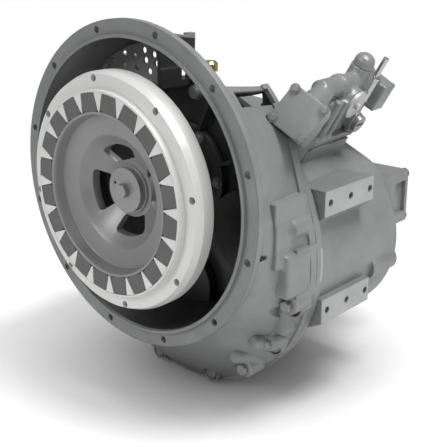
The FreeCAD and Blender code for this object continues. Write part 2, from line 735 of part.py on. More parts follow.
def case_bosses(body):
    """Outside bosses for the strainer, valve, dipstick and drain plug."""
    half = D.strainer_half.value - 0.5
    primitive(
        body, "AdditiveBox", "strainer_seat",
        STRAINER_PLACE * FreeCAD.Placement(FreeCAD.Vector(-half, D.strainer_thick.value, -half), UPRIGHT),
        Length=2 * half, Width=16, Height=2 * half,
    )
    primitive(
        body, "AdditiveCylinder", "strainer_boss",
        STRAINER_PLACE * FreeCAD.Placement(FreeCAD.Vector(0, D.strainer_thick.value, 0), ALONG_Y),
        Radius=D.strainer_boss, Height=46,
    )
    lean = FreeCAD.Vector(-95, 45, -110)
    primitive(
        body, "AdditiveCylinder", "strainer_neck",
        FreeCAD.Placement(FreeCAD.Vector(196, 158, 102), FreeCAD.Rotation(UP_Z, lean)),
        Radius=D.strainer_boss - 3, Height=140,
    )
    primitive(
        body, "AdditiveBox", "valve_pad",
        VALVE_PLACE * FreeCAD.Placement(FreeCAD.Vector(-34, -6, -163), UPRIGHT),
        Length=68, Width=D.barrel_len + 8, Height=75,
    )
    primitive(
        body, "SubtractiveBox", "valve_space",
        VALVE_PLACE * FreeCAD.Placement(FreeCAD.Vector(-40, -10, -88), UPRIGHT),
        Length=90, Width=180, Height=160,
    )
    primitive(
        body, "AdditiveCylinder", "dipstick_boss",
        FreeCAD.Placement(FreeCAD.Vector(-120, 300, -30), UPRIGHT),
        Radius=14, Height=90,
    )
    primitive(
        body, "AdditiveCylinder", "drain_boss",
        FreeCAD.Placement(FreeCAD.Vector(60, 225, -324), UPRIGHT),
        Radius=16, Height=30,
    )
    primitive(
        body, "AdditiveCylinder", "breather_boss",
        FreeCAD.Placement(FreeCAD.Vector(-40, 215, 80), UPRIGHT),
        Radius=14, Height=55,
    )


BETWEEN_AXES = (REVERSE[0] / 2, REVERSE[1] / 2)
REAR_SCREWS = [polar(D.cover_rad - 9, angle) for angle in (55, 105, 155, 205, 255)] + [
    polar(D.cover_rad - 9, angle, REVERSE) for angle in (-30, 10, 50, 90)
] + [polar(D.cover_rad - 9, 245, BETWEEN_AXES)]
OUTPUT_SCREWS = [polar(D.carrier_rad - 10, angle, OUTPUT) for angle in range(30, 390, 60)]


def case_rear(body):
    """Rear bearing bosses and seats, and the screw holes."""
    for name, (across, up), radius, start in (
        ("input", INPUT, D.bearing_rad, REAR_BEARING - 4),
        ("reverse", REVERSE, D.bearing_rad, REAR_BEARING - 4),
        ("output", OUTPUT, D.big_bearing_rad, BIG_BEARING - 6),
    ):
        disc(body, f"{name}_boss", radius + D.boss_wall, start, CASE_END, across, up)
    for name, place, radius, seat_at, clear in (
        ("input", INPUT, D.bearing_rad, REAR_BEARING, D.race_in + 2),
        ("reverse", REVERSE, D.bearing_rad, REAR_BEARING, D.race_in + 2),
        ("output", OUTPUT, D.big_bearing_rad, BIG_BEARING, D.big_race_in + 2),
    ):
        drill(body, f"{name}_clear", clear, seat_at - 20, CASE_END, [place])
        drill(body, f"{name}_seat", radius + D.fit_gap, seat_at, CASE_END, [place])
    drill(body, "rear_screw_holes", D.small_screw + 0.05, CASE_END - 12, CASE_END, REAR_SCREWS + OUTPUT_SCREWS)
    drill(body, "joint_screw_holes", D.screw_rad + 0.1, CASE_AT, CASE_FLANGE_END - 2, JOINT_SCREWS + INNER_SCREWS)


def case_openings(body):
    """Holes for the strainer screws, valve screws, dipstick, drain plug and breather."""
    for index, (across, up) in enumerate(STRAINER_SCREWS):
        primitive(
            body, "SubtractiveCylinder", f"strainer_hole_{index}",
            STRAINER_PLACE * FreeCAD.Placement(
                FreeCAD.Vector(across.value, D.strainer_thick.value, up.value), ALONG_Y),
            Radius=3.05, Height=14,
        )
    for index, (across, along) in enumerate(VALVE_SCREWS):
        primitive(
            body, "SubtractiveCylinder", f"valve_hole_{index}",
            VALVE_PLACE * FreeCAD.Placement(FreeCAD.Vector(across, along, -101), UPRIGHT),
            Radius=D.small_screw + 0.05, Height=15,
        )
    for name, place, radius, high in (
        ("dipstick_hole", FreeCAD.Vector(-120, 300, -45), D.stick_rad + 1, 110),
        ("drain_hole", FreeCAD.Vector(60, 225, -330), as_dim(9.05), 50),
        ("breather_hole", FreeCAD.Vector(-40, 215, 70), as_dim(6.05), 80),
    ):
        primitive(
            body, "SubtractiveCylinder", name, FreeCAD.Placement(place, UPRIGHT),
            Radius=radius, Height=high,
        )


def main_case():
    """Main case casting: walls, side pads, bosses and bearing seats."""
    body = new_body("main_case")
    rim = section(body, "rim_outline", CASE_AT)
    draw_hull(rim, rim_outline(0))
    pad(body, "rim", rim, D.joint_flange)
    loft(
        body, "wall",
        (CASE_FLANGE_END, case_outline(D.case_top_front, D.case_gear_front, 0)),
        (CASE_END, case_outline(D.case_top_rear, D.case_gear_rear, 0)),
    )
    case_pads(body)
    case_bosses(body)
    opening = section(body, "opening_outline", CASE_AT)
    draw_hull(opening, [(0, -D.skirt_drop, OPENING_LOW), (0, 0, OPENING_TOP)])
    pocket(body, "opening", opening, D.joint_flange)
    loft(
        body, "cavity",
        (CASE_FLANGE_END, case_outline(D.case_top_front, D.case_gear_front, D.shell)),
        (CASE_END - D.rear_wall, case_outline(D.case_top_rear, D.case_gear_rear, D.shell)),
        "PartDesign::SubtractiveLoft",
    )
    case_rear(body)
    pad_holes(body, 1)
    pad_holes(body, -1)
    case_openings(body)


def case_gasket():
    """Gasket between the bell housing and the main case."""
    body = new_body("case_gasket")
    sheet = section(body, "gasket_outline", D.joint_at)
    draw_hull(sheet, rim_outline(1))
    draw_hull(sheet, [(0, -D.skirt_drop, OPENING_LOW), (0, 0, OPENING_TOP)])
    pad(body, "gasket", sheet, D.gasket_thick)
    drill(body, "gasket_holes", D.screw_rad + 0.3, D.joint_at, CASE_AT, JOINT_SCREWS + INNER_SCREWS)


def case_screws():
    """Screws that hold the bell housing to the main case."""
    body = new_body("case_screws")
    screws(
        body, JOINT_SCREWS, SCREW_SEAT, CASE_FLANGE_END - SCREW_SEAT - 4,
        D.screw_rad, D.screw_head, D.screw_high,
    )
    inner = new_body("inner_case_screws")
    screws(
        inner, INNER_SCREWS, WALL_FACE, CASE_FLANGE_END - WALL_FACE - 4,
        D.screw_rad, D.screw_head, D.screw_high,
    )


def vent_screen():
    """Perforated sheet over the vent opening, and its four screws."""
    body = new_body("vent_screen")
    front = D.web_at - D.screen_thick
    sheet = section(body, "sheet_outline", front)
    draw_sector(sheet, D.web_low + 3, D.vent_top + 0.5, D.vent_first - 0.2, D.vent_last + 5.4)
    pad(body, "sheet", sheet, D.screen_thick)
    holes = [
        (across + step * across_step, up + step * up_step)
        for across, up, across_step, up_step, count in VENT_ROWS for step in range(count)
    ]
    drill(body, "perforations", D.vent_hole, front, D.web_at, holes)
    drill(body, "fixing_holes", D.small_screw - 0.9, front, D.web_at, SCREEN_SCREWS)
    fixings = new_body("vent_screen_screws")
    screws(
        fixings, SCREEN_SCREWS, front, D.screen_thick + D.web_thick - 2,
        D.small_screw - 1, D.small_head - 1.5, D.small_high - 1.5,
    )


def bearing_carrier():
    """Input bearing carrier, its screws and its oil seal."""
    body = new_body("bearing_carrier")
    nose_at = D.bearing_front - 14
    flange_at = WALL_FACE - D.carrier_thick
    seal_bore = D.seal_rad + D.fit_gap
    turned(body, "carrier", [
        (seal_bore, nose_at),
        (D.seal_rad + 10, nose_at),
        (D.bearing_rad + 8, flange_at - 6),
        (D.bearing_rad + 8, flange_at),
        (D.carrier_rad, flange_at),
        (D.carrier_rad, WALL_FACE),
        (CARRIER_BORE - D.fit_gap, WALL_FACE),
        (CARRIER_BORE - D.fit_gap, D.joint_at),
        (D.bearing_rad + D.fit_gap, D.joint_at),
        (D.bearing_rad + D.fit_gap, D.bearing_front),
        (D.race_in - 1, D.bearing_front),
        (D.race_in - 1, nose_at + D.seal_wide + 1),
        (seal_bore, nose_at + D.seal_wide + 1),
    ])
    drill(body, "carrier_holes", D.small_screw + 0.3, flange_at, WALL_FACE, CARRIER_SCREWS)
    fixings = new_body("carrier_screws")
    screws(
        fixings, CARRIER_SCREWS, flange_at, D.carrier_thick + D.wall_thick - 3,
        D.small_screw, D.small_head, D.small_high,
    )
    seal = new_body("input_oil_seal")
    disc(
        seal, "seal", D.seal_rad, nose_at + 0.5, nose_at + 0.5 + D.seal_wide,
        hole=D.shaft_rad + D.fit_gap * 3,
    )


BEARINGS = (
    ("input_front", INPUT, D.bearing_front),
    ("input_rear", INPUT, REAR_BEARING),
    ("reverse_front", REVERSE, D.bearing_front),
    ("reverse_rear", REVERSE, REAR_BEARING),
    ("output_front", OUTPUT, D.bearing_front),
)


def bearing_rings():
    """Outer races and rollers of all shaft bearings."""
    races = new_body("outer_races")
    rollers = new_body("bearing_rollers")
    roller_rad = (D.race_out - D.race_in) / 2 - D.roller_gap
    big_roller_rad = (D.big_race_out - D.big_race_in) / 2 - D.roller_gap
    for name, (across, up), start in BEARINGS:
        disc(races, name, D.bearing_rad, start, start + D.bearing_wide - 0.2, across, up, D.race_out)
        roller_set(rollers, name, (across, up), start, D.bearing_wide, roller_rad, (D.race_in + D.race_out) / 2)
    across, up = OUTPUT
    disc(races, "output_rear", D.big_bearing_rad, BIG_BEARING, CASE_END - 0.2, across, up, D.big_race_out)
    roller_set(
        rollers, "output_rear", OUTPUT, BIG_BEARING, D.big_bearing_wide,
        big_roller_rad, (D.big_race_in + D.big_race_out) / 2,
    )


def roller_set(body, name, axis, start, wide, radius, pitch):
    """Rollers evenly round one bearing."""
    sketch = section(body, f"{name}_outline", start + 3)
    count = int(D.roller_count.value)
    for index in range(count):
        angle = as_dim(360 * index) / D.roller_count
        draw_circle(sketch, axis[0] + pitch * cosine(angle), axis[1] + pitch * sine(angle), radius)
    pad(body, name, sketch, wide - 6)


def inner_races(label, axis, places, big=None):
    """Inner races of one shaft's bearings, in the shaft's own body."""
    body = new_body(label, axis)
    for index, start in enumerate(places):
        disc(
            body, f"race_{index}", D.race_in, start, start + D.bearing_wide - 0.2,
            hole=D.shaft_rad + D.fit_gap,
        )
    if big is not None:
        disc(
            body, "big_race", D.big_race_in, big, big + D.big_bearing_wide - 0.2,
            hole=D.big_journal + D.fit_gap,
        )


def rear_cover():
    """Rear cover over the input and reverse bearings."""
    body = new_body("rear_cover")
    sheet = section(body, "cover_outline", CASE_END)
    draw_hull(sheet, [(REVERSE[0], REVERSE[1], D.cover_rad), (0, 0, D.cover_rad)])
    pad(body, "cover", sheet, D.cover_thick)
    drill(body, "shaft_recess", D.race_in, CASE_END, CASE_END + 7, [INPUT, REVERSE])
    drill(body, "tail_hole", D.tail_rad + 1, CASE_END, COVER_END, [REVERSE])
    drill(body, "screw_holes", D.small_screw + 0.3, CASE_END, COVER_END, REAR_SCREWS)
    fixings = new_body("rear_cover_screws")
    screws(
        fixings, REAR_SCREWS, COVER_END, D.cover_thick + 10,
        D.small_screw, D.small_head, D.small_high, towards_rear=True,
    )


def output_cover():
    """Output bearing cover, its screws and its oil seal."""
    body = new_body("output_cover", OUTPUT)
    flange_end = CASE_END + 12
    nose_end = flange_end + 14
    bore = D.big_race_in + 4 + D.fit_gap
    turned(body, "cover", [
        (D.big_race_in + 2, CASE_END),
        (D.carrier_rad, CASE_END),
        (D.carrier_rad, flange_end),
        (D.big_race_in + 13, flange_end),
        (D.big_race_in + 12, nose_end),
        (bore, nose_end),
        (bore, nose_end - D.seal_wide - 1),
        (D.big_journal + 3, nose_end - D.seal_wide - 1),
        (D.big_journal + 3, flange_end - 2),
        (D.big_race_in + 2, flange_end - 2),
    ])
    local = [(across, up - OUTPUT[1]) for across, up in OUTPUT_SCREWS]
    drill(body, "screw_holes", D.small_screw + 0.3, CASE_END, flange_end, local)
    fixings = new_body("output_cover_screws")
    screws(
        fixings, OUTPUT_SCREWS, flange_end, as_dim(22),
        D.small_screw, D.small_head, D.small_high, towards_rear=True,
    )
    seal = new_body("output_oil_seal", OUTPUT)
    disc(
        seal, "seal", D.big_race_in + 4, nose_end - D.seal_wide - 0.5, nose_end - 0.5,
        hole=D.big_journal + D.fit_gap * 3,
    )


PUMP_PITCH = D.pump_mod * D.pump_teeth
PUMP_CENTRE = (REVERSE[0], REVERSE[1] - PUMP_PITCH / 2)
PUMP_IDLER = (REVERSE[0], REVERSE[1] - PUMP_PITCH)
PUMP_TIP = PUMP_PITCH / 2 + D.pump_mod
PUMP_CAVITY = PUMP_END - D.pump_gear_wide - 2
PUMP_SCREWS = [
    (PUMP_CENTRE[0] + a * (D.pump_half - 8), PUMP_CENTRE[1] + b * (D.pump_half - 8))
    for a, b in ((1, 1), (-1, 1), (-1, -1), (1, -1))
]


def square(centre, half):
    """Corners of an upright square."""
    return [(centre[0] + a * half, centre[1] + b * half) for a, b in ((1, 1), (-1, 1), (-1, -1), (1, -1))]


def oil_pump():
    """Gear pump on the rear cover: body, valve block, idler pin and screws."""
    body = new_body("pump_body")
    slab(body, "block", square(PUMP_CENTRE, D.pump_half), COVER_END, PUMP_END)
    drill(body, "cavity", PUMP_TIP + 0.1, PUMP_CAVITY, PUMP_END, [REVERSE])
    drill(body, "idler_cavity", PUMP_TIP + 0.1, PUMP_CAVITY, PUMP_END, [PUMP_IDLER])
    drill(body, "tail_hole", D.tail_rad + 0.5, COVER_END, PUMP_CAVITY, [REVERSE])
    drill(body, "pin_hole", D.pin_rad + D.fit_gap, PUMP_CAVITY - 8, PUMP_CAVITY, [PUMP_IDLER])
    drill(body, "screw_holes", D.small_screw + 0.1, PUMP_END - 30, PUMP_END, PUMP_SCREWS)
    block = new_body("pump_valve_block")
    block_end = PUMP_END + D.pump_end_len
    slab(block, "block", square(PUMP_CENTRE, D.pump_half), PUMP_END, block_end)
    drill(block, "screw_holes", D.small_screw + 0.3, PUMP_END, block_end, PUMP_SCREWS)
    window = sketch_on(block, "YZ_Plane", "side_recess_outline", PUMP_CENTRE[0] + D.pump_half)
    low = PUMP_CENTRE[1] - D.pump_half + 18
    high = PUMP_CENTRE[1] + D.pump_half - 18
    draw_polygon(window, [
        (PUMP_END + 14, low), (block_end - 8, low), (block_end - 8, high), (PUMP_END + 14, high),
    ])
    recess = block.newObject("PartDesign::Pocket", "side_recess")
    recess.Profile = window
    recess.Length = 7
    fixings = new_body("pump_screws")
    screws(
        fixings, PUMP_SCREWS, block_end, D.pump_end_len + 28,
        D.small_screw, D.small_head, D.small_high, towards_rear=True,
    )
    pin = new_body("pump_idler_pin")
    disc(pin, "pin", D.pin_rad, PUMP_CAVITY - 8, PUMP_END - 0.5, *PUMP_IDLER)


def flank_angle(radius, pitch_rad, base_rad, half_tooth):
    """Half of a tooth's angle at a radius, on the involute of 20 degrees."""
    pitch_lean = math.acos(base_rad / pitch_rad)
    lean = math.acos(min(1, base_rad / radius))
    return half_tooth + (math.tan(pitch_lean) - pitch_lean) - (math.tan(lean) - lean)


def tooth_outline(teeth, module, first):
    """Corners of a spur gear's outline, in order round the axis."""
    pitch_rad = module * teeth / 2
    base_rad = pitch_rad * math.cos(math.radians(20))
    half_tooth = math.pi / (2 * teeth) - D.backlash.value / (2 * pitch_rad)
    radii = (pitch_rad - 1.25 * module, pitch_rad, pitch_rad + module)
    flanks = [flank_angle(radius, pitch_rad, base_rad, half_tooth) for radius in radii]
    corners = []
    for index in range(teeth):
        middle = math.radians(first) + 2 * math.pi * index / teeth
        for radius, flank in zip(radii, flanks):
            corners.append((radius, middle - flank))
        for radius, flank in zip(reversed(radii), reversed(flanks)):
            corners.append((radius, middle + flank))
    return [FreeCAD.Vector(radius * math.cos(a), 0, radius * math.sin(a)) for radius, a in corners]


def cylinder(radius, start, end):
    """Plain cylinder about the Y axis."""
    return Part.makeCylinder(radius, end - start, FreeCAD.Vector(0, start, 0), REARWARD)


def gear(label, axis, teeth, module, first, start, wide, bore, sleeve=None, web=None):
    """Spur gear with an optional sleeve (radius, start, end) and a thinner web (inner, outer)."""
    corners = tooth_outline(int(teeth.value), module.value, first)
    face = Part.Face(Part.makePolygon(corners + corners[:1]))
    front = start.value
    solid = face.extrude(FreeCAD.Vector(0, wide.value, 0))
    solid.translate(FreeCAD.Vector(0, front, 0))
    if web is not None:
        for side in (front - 1, front + wide.value - 9):
            ring = cylinder(web[1], side, side + 10).cut(cylinder(web[0], side, side + 10))
            solid = solid.cut(ring)
    if sleeve is not None:
        solid = solid.fuse(cylinder(sleeve[0].value, sleeve[1].value, sleeve[2].value))
    solid = solid.cut(cylinder(bore.value, front - 200, front + 200))
    part = DOC.addObject("Part::Feature", label)
    part.Label = label
    part.Shape = solid.removeSplitter()
    part.Placement = FreeCAD.Placement(FreeCAD.Vector(axis[0].value, 0, axis[1].value), UPRIGHT)


def direction(start, end):
    """Direction from one shaft axis to another, in degrees."""
    return math.degrees(math.atan2(end[1].value - start[1].value, end[0].value - start[0].value))


def meshed(teeth, mate_teeth, mate_first, towards):
    """First tooth angle that meshes with a mate whose axis lies behind the given direction."""
    past = (towards - mate_first) % (360 / mate_teeth.value)
    return towards + 180 + past * mate_teeth.value / teeth.value + 180 / teeth.value


def gears():
    """Transfer gears, drive pinions, output gear and pump gears, in mesh at rest."""
    to_reverse = direction(INPUT, REVERSE)
    pinion_end = D.pinion_at + D.pinion_wide
    transfer_end = D.transfer_at + D.transfer_wide
    journal = D.shaft_rad + D.fit_gap
    hub = (D.sleeve_rad, D.joint_at - 0.6, transfer_end)
    web = (D.sleeve_rad.value, TRANSFER_RAD.value - 13)
    gear("input_gear", INPUT, D.transfer_teeth, D.drive_mod, to_reverse,
         D.transfer_at, D.transfer_wide, journal, hub, web)
    gear("reverse_gear", REVERSE, D.transfer_teeth, D.drive_mod,
         meshed(D.transfer_teeth, D.transfer_teeth, to_reverse, to_reverse),
         D.transfer_at, D.transfer_wide, journal, hub, web)
    sleeve = (D.sleeve_rad, D.clutch_at + D.clutch_wall + 2.5, D.pinion_at + 1)
    gear("forward_pinion", INPUT, D.pinion_teeth, D.drive_mod, -90.0,
         D.pinion_at, D.pinion_wide, D.shaft_rad + 0.06, sleeve)
    output_first = meshed(D.output_teeth, D.pinion_teeth, -90.0, -90.0)
    gear("output_gear", OUTPUT, D.output_teeth, D.drive_mod, output_first,
         D.pinion_at, D.pinion_wide, D.big_shaft_rad + D.fit_gap, None, (55.0, 100.0))
    gear("reverse_pinion", REVERSE, D.pinion_teeth, D.drive_mod,
         meshed(D.pinion_teeth, D.output_teeth, output_first, direction(OUTPUT, REVERSE)),
         D.pinion_at, D.pinion_wide, D.shaft_rad + 0.06, sleeve)
    gear("pump_drive_gear", REVERSE, D.pump_teeth, D.pump_mod, -90.0,
         PUMP_CAVITY + 1, D.pump_gear_wide, D.tail_rad + D.fit_gap)
    gear("pump_idler_gear", PUMP_IDLER, D.pump_teeth, D.pump_mod,
         meshed(D.pump_teeth, D.pump_teeth, -90.0, -90.0),
         PUMP_CAVITY + 1, D.pump_gear_wide, D.pin_rad + 0.05)
    return pinion_end


def clutch(prefix, axis):
    """One clutch: its drum, open towards the pinion, and its plate stack."""
    drum = new_body(f"{prefix}_clutch_drum", axis)
    end = D.clutch_at + D.clutch_len
    inner = D.clutch_rad - D.clutch_wall
    turned(drum, "drum", [
        (D.shaft_rad + D.fit_gap, D.transfer_at + D.transfer_wide + 0.3),
        (D.sleeve_rad, D.transfer_at + D.transfer_wide + 0.3),
        (D.sleeve_rad, D.clutch_at),
        (D.clutch_rad, D.clutch_at),
        (D.clutch_rad, end),
        (inner, end),
        (inner, D.clutch_at + D.clutch_wall + 2),
        (D.shaft_rad + D.fit_gap, D.clutch_at + D.clutch_wall + 2),
    ])
    plates = new_body(f"{prefix}_clutch_plates", axis)
    for index in range(int(D.plate_count.value)):
        start = D.clutch_at + D.clutch_wall + 5 + index * D.plate_pitch
        disc(plates, f"plate_{index}", inner - 0.3, start, start + D.plate_thick, hole=D.sleeve_rad + 0.3)


def shafts():
    """Input, reverse and output shafts."""
    shoulder = D.pinion_at + D.pinion_wide + 0.3
    body = new_body("input_shaft")
    turned(body, "shaft", [
        (0, -2.5), (D.hub_bore, -2.5), (D.hub_bore, D.hub_rear), (D.shaft_rad, D.hub_rear),
        (D.shaft_rad, shoulder), (D.shoulder_rad, shoulder), (D.shoulder_rad, REAR_BEARING),
        (D.shaft_rad, REAR_BEARING), (D.shaft_rad, CASE_END + 1), (0, CASE_END + 1),
    ])
    drill(body, "bolt_hole", D.screw_rad + 0.05, -2.5, 24)
    body = new_body("reverse_shaft", REVERSE)
    turned(body, "shaft", [
        (0, D.bearing_front + 0.5), (D.shaft_rad, D.bearing_front + 0.5), (D.shaft_rad, shoulder),
        (D.shoulder_rad, shoulder), (D.shoulder_rad, REAR_BEARING), (D.shaft_rad, REAR_BEARING),
        (D.shaft_rad, CASE_END + 1), (D.tail_rad, CASE_END + 1), (D.tail_rad, PUMP_END - 1),
        (0, PUMP_END - 1),
    ])
    body = new_body("output_shaft", OUTPUT)
    seat = D.coupling_face - D.coupling_thick - 24
    thread = D.coupling_face - D.coupling_thick + 0.8
    turned(body, "shaft", [
        (0, D.bearing_front + 0.5), (D.shaft_rad, D.bearing_front + 0.5), (D.shaft_rad, D.joint_at),
        (D.big_shaft_rad, D.joint_at), (D.big_shaft_rad, shoulder), (D.big_shaft_rad + 5, shoulder),
        (D.big_shaft_rad + 5, BIG_BEARING), (D.big_journal, BIG_BEARING), (D.big_journal, seat - 0.5),
        (D.big_journal - 4.5, seat - 0.5), (D.big_journal - 4.5, thread), (20, thread),
        (20, D.coupling_face - 2), (0, D.coupling_face - 2),
    ])


def output_flange():
    """Output flange with its pilot and bolt holes, and the shaft nut in its recess."""
    body = new_body("output_flange", OUTPUT)
    disc_at = D.coupling_face - D.coupling_thick
    turned(body, "flange", [
        (D.big_journal - 4.47, disc_at - 24),
        (D.big_journal + 9.5, disc_at - 24),
        (D.big_journal + 9.5, disc_at),
        (D.coupling_rad, disc_at),
        (D.coupling_rad, D.coupling_face),
        (D.coupling_pilot, D.coupling_face),
        (D.coupling_pilot, D.coupling_face + 3),
        (D.big_journal + 1.5, D.coupling_face + 3),
        (D.big_journal + 1.5, disc_at + 1),
        (D.big_journal - 4.47, disc_at + 1),
    ])
    hole = drill(
        body, "bolt_hole", D.coupling_hole, disc_at, D.coupling_face,
        [polar(D.coupling_bolt_rad, 30)],
    )
    repeat(body, hole, D.coupling_bolts)
    nut = new_body("output_nut", OUTPUT)
    sides = [polar(as_dim(29), 60 * index) for index in range(6)]
    slab(nut, "nut", sides, disc_at + 1.2, D.coupling_face - 1)
    drill(nut, "thread", as_dim(20.05), disc_at + 1.2, D.coupling_face - 1)


BLOCK_TURN = FreeCAD.Placement(FreeCAD.Vector(), FreeCAD.Rotation(REARWARD, 7.8))


def block_outline(gap):
    """Section of one rubber block, widened by a gap, with its corners cut back."""
    low = D.block_in - gap
    wide = D.block_wide / 2 + gap
    narrow = D.block_narrow / 2 + gap
    high = D.block_out + gap
    return [
        (-narrow, low), (narrow, low), (wide, high - 7), (wide - 1.5, high - 2.5), (wide - 6, high),
        (6 - wide, high), (1.5 - wide, high - 2.5), (-wide, high - 7),
    ]


def drive_ring():
    """Driving ring: bolt face, toothed rim, block spaces and bolt holes."""
    body = placed_body("drive_ring", BLOCK_TURN)
    bevel = as_dim(4.4)
    turned(body, "ring", [
        (D.hub_rim + 0.6, D.ring_nose),
        (D.ring_nose_rad, D.ring_nose),
        (D.ring_nose_rad, D.ring_face),
        (D.ring_rad - bevel, D.ring_face),
        (D.ring_rad, D.ring_face + 11),
        (D.ring_rad, D.ring_back),
        (D.hub_rim + 0.6, D.ring_back),
    ])
    space = section(body, "space_outline", D.ring_nose)
    draw_polygon(space, block_outline(D.block_gap))
    repeat(body, pocket(body, "space", space, D.ring_back - D.ring_nose), D.block_count)
    hole = drill(
        body, "bolt_hole", D.ring_bolt_hole, D.ring_face, D.ring_back,
        [polar(D.ring_bolt_rad, 105.2)],
    )
    repeat(body, hole, D.ring_bolts)


def rubber_blocks():
    """Rubber blocks between the ring's teeth and the hub."""
    body = placed_body("rubber_blocks", BLOCK_TURN)
    block = section(body, "block_outline", D.ring_nose + 0.5)
    draw_polygon(block, block_outline(0))
    repeat(body, pad(body, "block", block, D.ring_back - D.ring_nose - 1), D.block_count)


def drive_hub():
    """Cast hub: pocketed rim, dished web, four windows and centre boss."""
    body = placed_body("drive_hub", BLOCK_TURN)
    face = D.ring_nose + 1
    back = D.ring_back - 1
    floor = as_dim(6)
    turned(body, "hub", [
        (D.hub_bore + D.fit_gap, -3),
        (D.hub_boss_rad, -3),
        (D.hub_boss_rad, floor),
        (D.hub_floor_rad, floor),
        (D.hub_mouth, -28),
        (D.hub_dish, -33),
        (D.hub_lip, face + 6),
        (D.hub_lip + 3, face),
        (D.hub_rim, face),
        (D.hub_rim, back),
        (D.hub_dish - 6, back),
        (D.hub_mouth + 8, back + 5),
        (D.hub_floor_rad + 12, floor + 14),
        (D.hub_boss_rad + 7, floor + 14),
        (D.hub_boss_rad + 7, D.hub_rear - 0.2),
        (D.hub_bore + D.fit_gap, D.hub_rear - 0.2),
    ])
    pockets = section(body, "pocket_outline", face)
    draw_polygon(pockets, block_outline(D.block_gap))
    repeat(body, pocket(body, "pocket", pockets, back - face), D.block_count)
    turn = 90 + 7.8
    window = section(body, "window_outline", floor - 1)
    half = D.window_wide / 2
    draw_sector(window, D.hub_boss_rad + 6, D.hub_floor_rad - 3, turn - half, turn + half)
    repeat(body, pocket(body, "window", window, 16), as_dim(4))
    puller = drill(body, "puller_hole", as_dim(5), -36, -9, [polar(as_dim(98), turn - 152)])
    repeat(body, puller, as_dim(3))


def hub_retainer():
    """Plate and bolt that hold the hub on the shaft."""
    body = new_body("hub_retainer")
    disc(body, "plate", D.retainer_rad, as_dim(-12), as_dim(-3.1))
    drill(body, "bolt_hole", D.screw_rad + 0.2, -12, -3.1)
    drill(body, "dowel_hole", as_dim(2.5), -12, -3.1, [polar(as_dim(22), 158)])
    bolt = new_body("hub_bolt")
    sides = [polar(as_dim(10.5), 60 * index) for index in range(6)]
    slab(bolt, "head", sides, as_dim(-20), as_dim(-12))
    disc(bolt, "shank", D.screw_rad, as_dim(-12), as_dim(20))


STRAINER_SCREWS = [(a * (D.strainer_half - 6), b * (D.strainer_half - 6)) for a, b in ((1, 1), (-1, 1), (-1, -1), (1, -1))]


def strainer_cover():
    """Square strainer cover and its four screws."""
    body = placed_body("strainer_cover", STRAINER_PLACE)
    slab(body, "plate", square((as_dim(0), as_dim(0)), D.strainer_half), as_dim(0), D.strainer_thick)
    drill(body, "holes", as_dim(3.2), 0, D.strainer_thick, STRAINER_SCREWS)
    fixings = placed_body("strainer_screws", STRAINER_PLACE)
    screws(fixings, STRAINER_SCREWS, as_dim(0), D.strainer_thick + 12, as_dim(3), as_dim(5.2), as_dim(4))


def side_place(along, up, out):
    """Placement on the valve's outer side, the part's own -Y pointing outwards."""
    return VALVE_PLACE * FreeCAD.Placement(FreeCAD.Vector(out, along, up), FACING_X)


def valve_cylinder(body, kind, name, place, turn, radius, high):
    """Round boss or bore in the valve's frame."""
    primitive(body, kind, name, FreeCAD.Placement(FreeCAD.Vector(*place), turn), Radius=radius, Height=high)


def valve_body():
    """Control valve casting on the case's upper side."""
    body = placed_body("valve_body", VALVE_PLACE)
    turn_x = FreeCAD.Rotation(REARWARD, 90)
    disc(body, "barrel", D.barrel_rad, as_dim(0), D.barrel_len)
    slab(body, "neck", [(-20, -80), (20, -80), (D.barrel_rad, 0), (-D.barrel_rad, 0)], as_dim(14), as_dim(110))
    slab(body, "foot", [(-33, -88), (33, -88), (33, -76), (-33, -76)], as_dim(-5), D.barrel_len + 1)
    slab(body, "end_block", [(-18, -38), (40, -38), (40, 12), (-18, 12)], D.barrel_len - 1, D.barrel_len + 40)
    valve_cylinder(body, "AdditiveCylinder", "side_boss", (0, 78, -18), turn_x, 25, 28)
    valve_cylinder(body, "AdditiveCylinder", "plug_boss", (0, 108, -53), turn_x, 16, 36)
    valve_cylinder(body, "AdditiveCylinder", "cap_boss", (-4, 112, -34), UPRIGHT, 18, 59)
    valve_cylinder(
        body, "SubtractiveCylinder", "spool_bore", (14, 139, -30), UPRIGHT, D.spool_rad + 0.05, 44)
    for index, (across, along) in enumerate(VALVE_SCREWS):
        valve_cylinder(
            body, "SubtractiveCylinder", f"foot_hole_{index}", (across, along, -90), UPRIGHT,
            D.small_screw + 0.3, 16)


VALVE_SCREWS = [(across, along) for across in (-27, 27) for along in (4, 112)]


def valve_fittings():
    """Round cover, plug, cap and screws of the control valve."""
    cover = placed_body("valve_round_cover", side_place(78, -18, 33))
    disc(cover, "cover", as_dim(23), as_dim(0), as_dim(4.9))
    disc(cover, "bolt", as_dim(6), as_dim(-5), as_dim(0))
    plug = placed_body("valve_plug", side_place(108, -53, 43))
    disc(plug, "plug", as_dim(14.5), as_dim(0), as_dim(6.9))
    slab_cut = section(plug, "slot_outline", 0)
    draw_polygon(slab_cut, [(-11, -2), (11, -2), (11, 2), (-11, 2)])
    pocket(plug, "slot", slab_cut, 3)
    cap = placed_body("valve_cap", VALVE_PLACE * FreeCAD.Placement(FreeCAD.Vector(-4, 112, 25.1), FACING_UP))
    turned(cap, "cap", [(0, -20), (8, -19), (13.5, -15), (16, -9), (16, 0), (0, 0)])
    foot = placed_body(
        "valve_screws", VALVE_PLACE * FreeCAD.Placement(FreeCAD.Vector(0, 0, -76), FACING_UP))
    screws(foot, VALVE_SCREWS, as_dim(0), as_dim(24), D.small_screw, D.small_head, D.small_high)


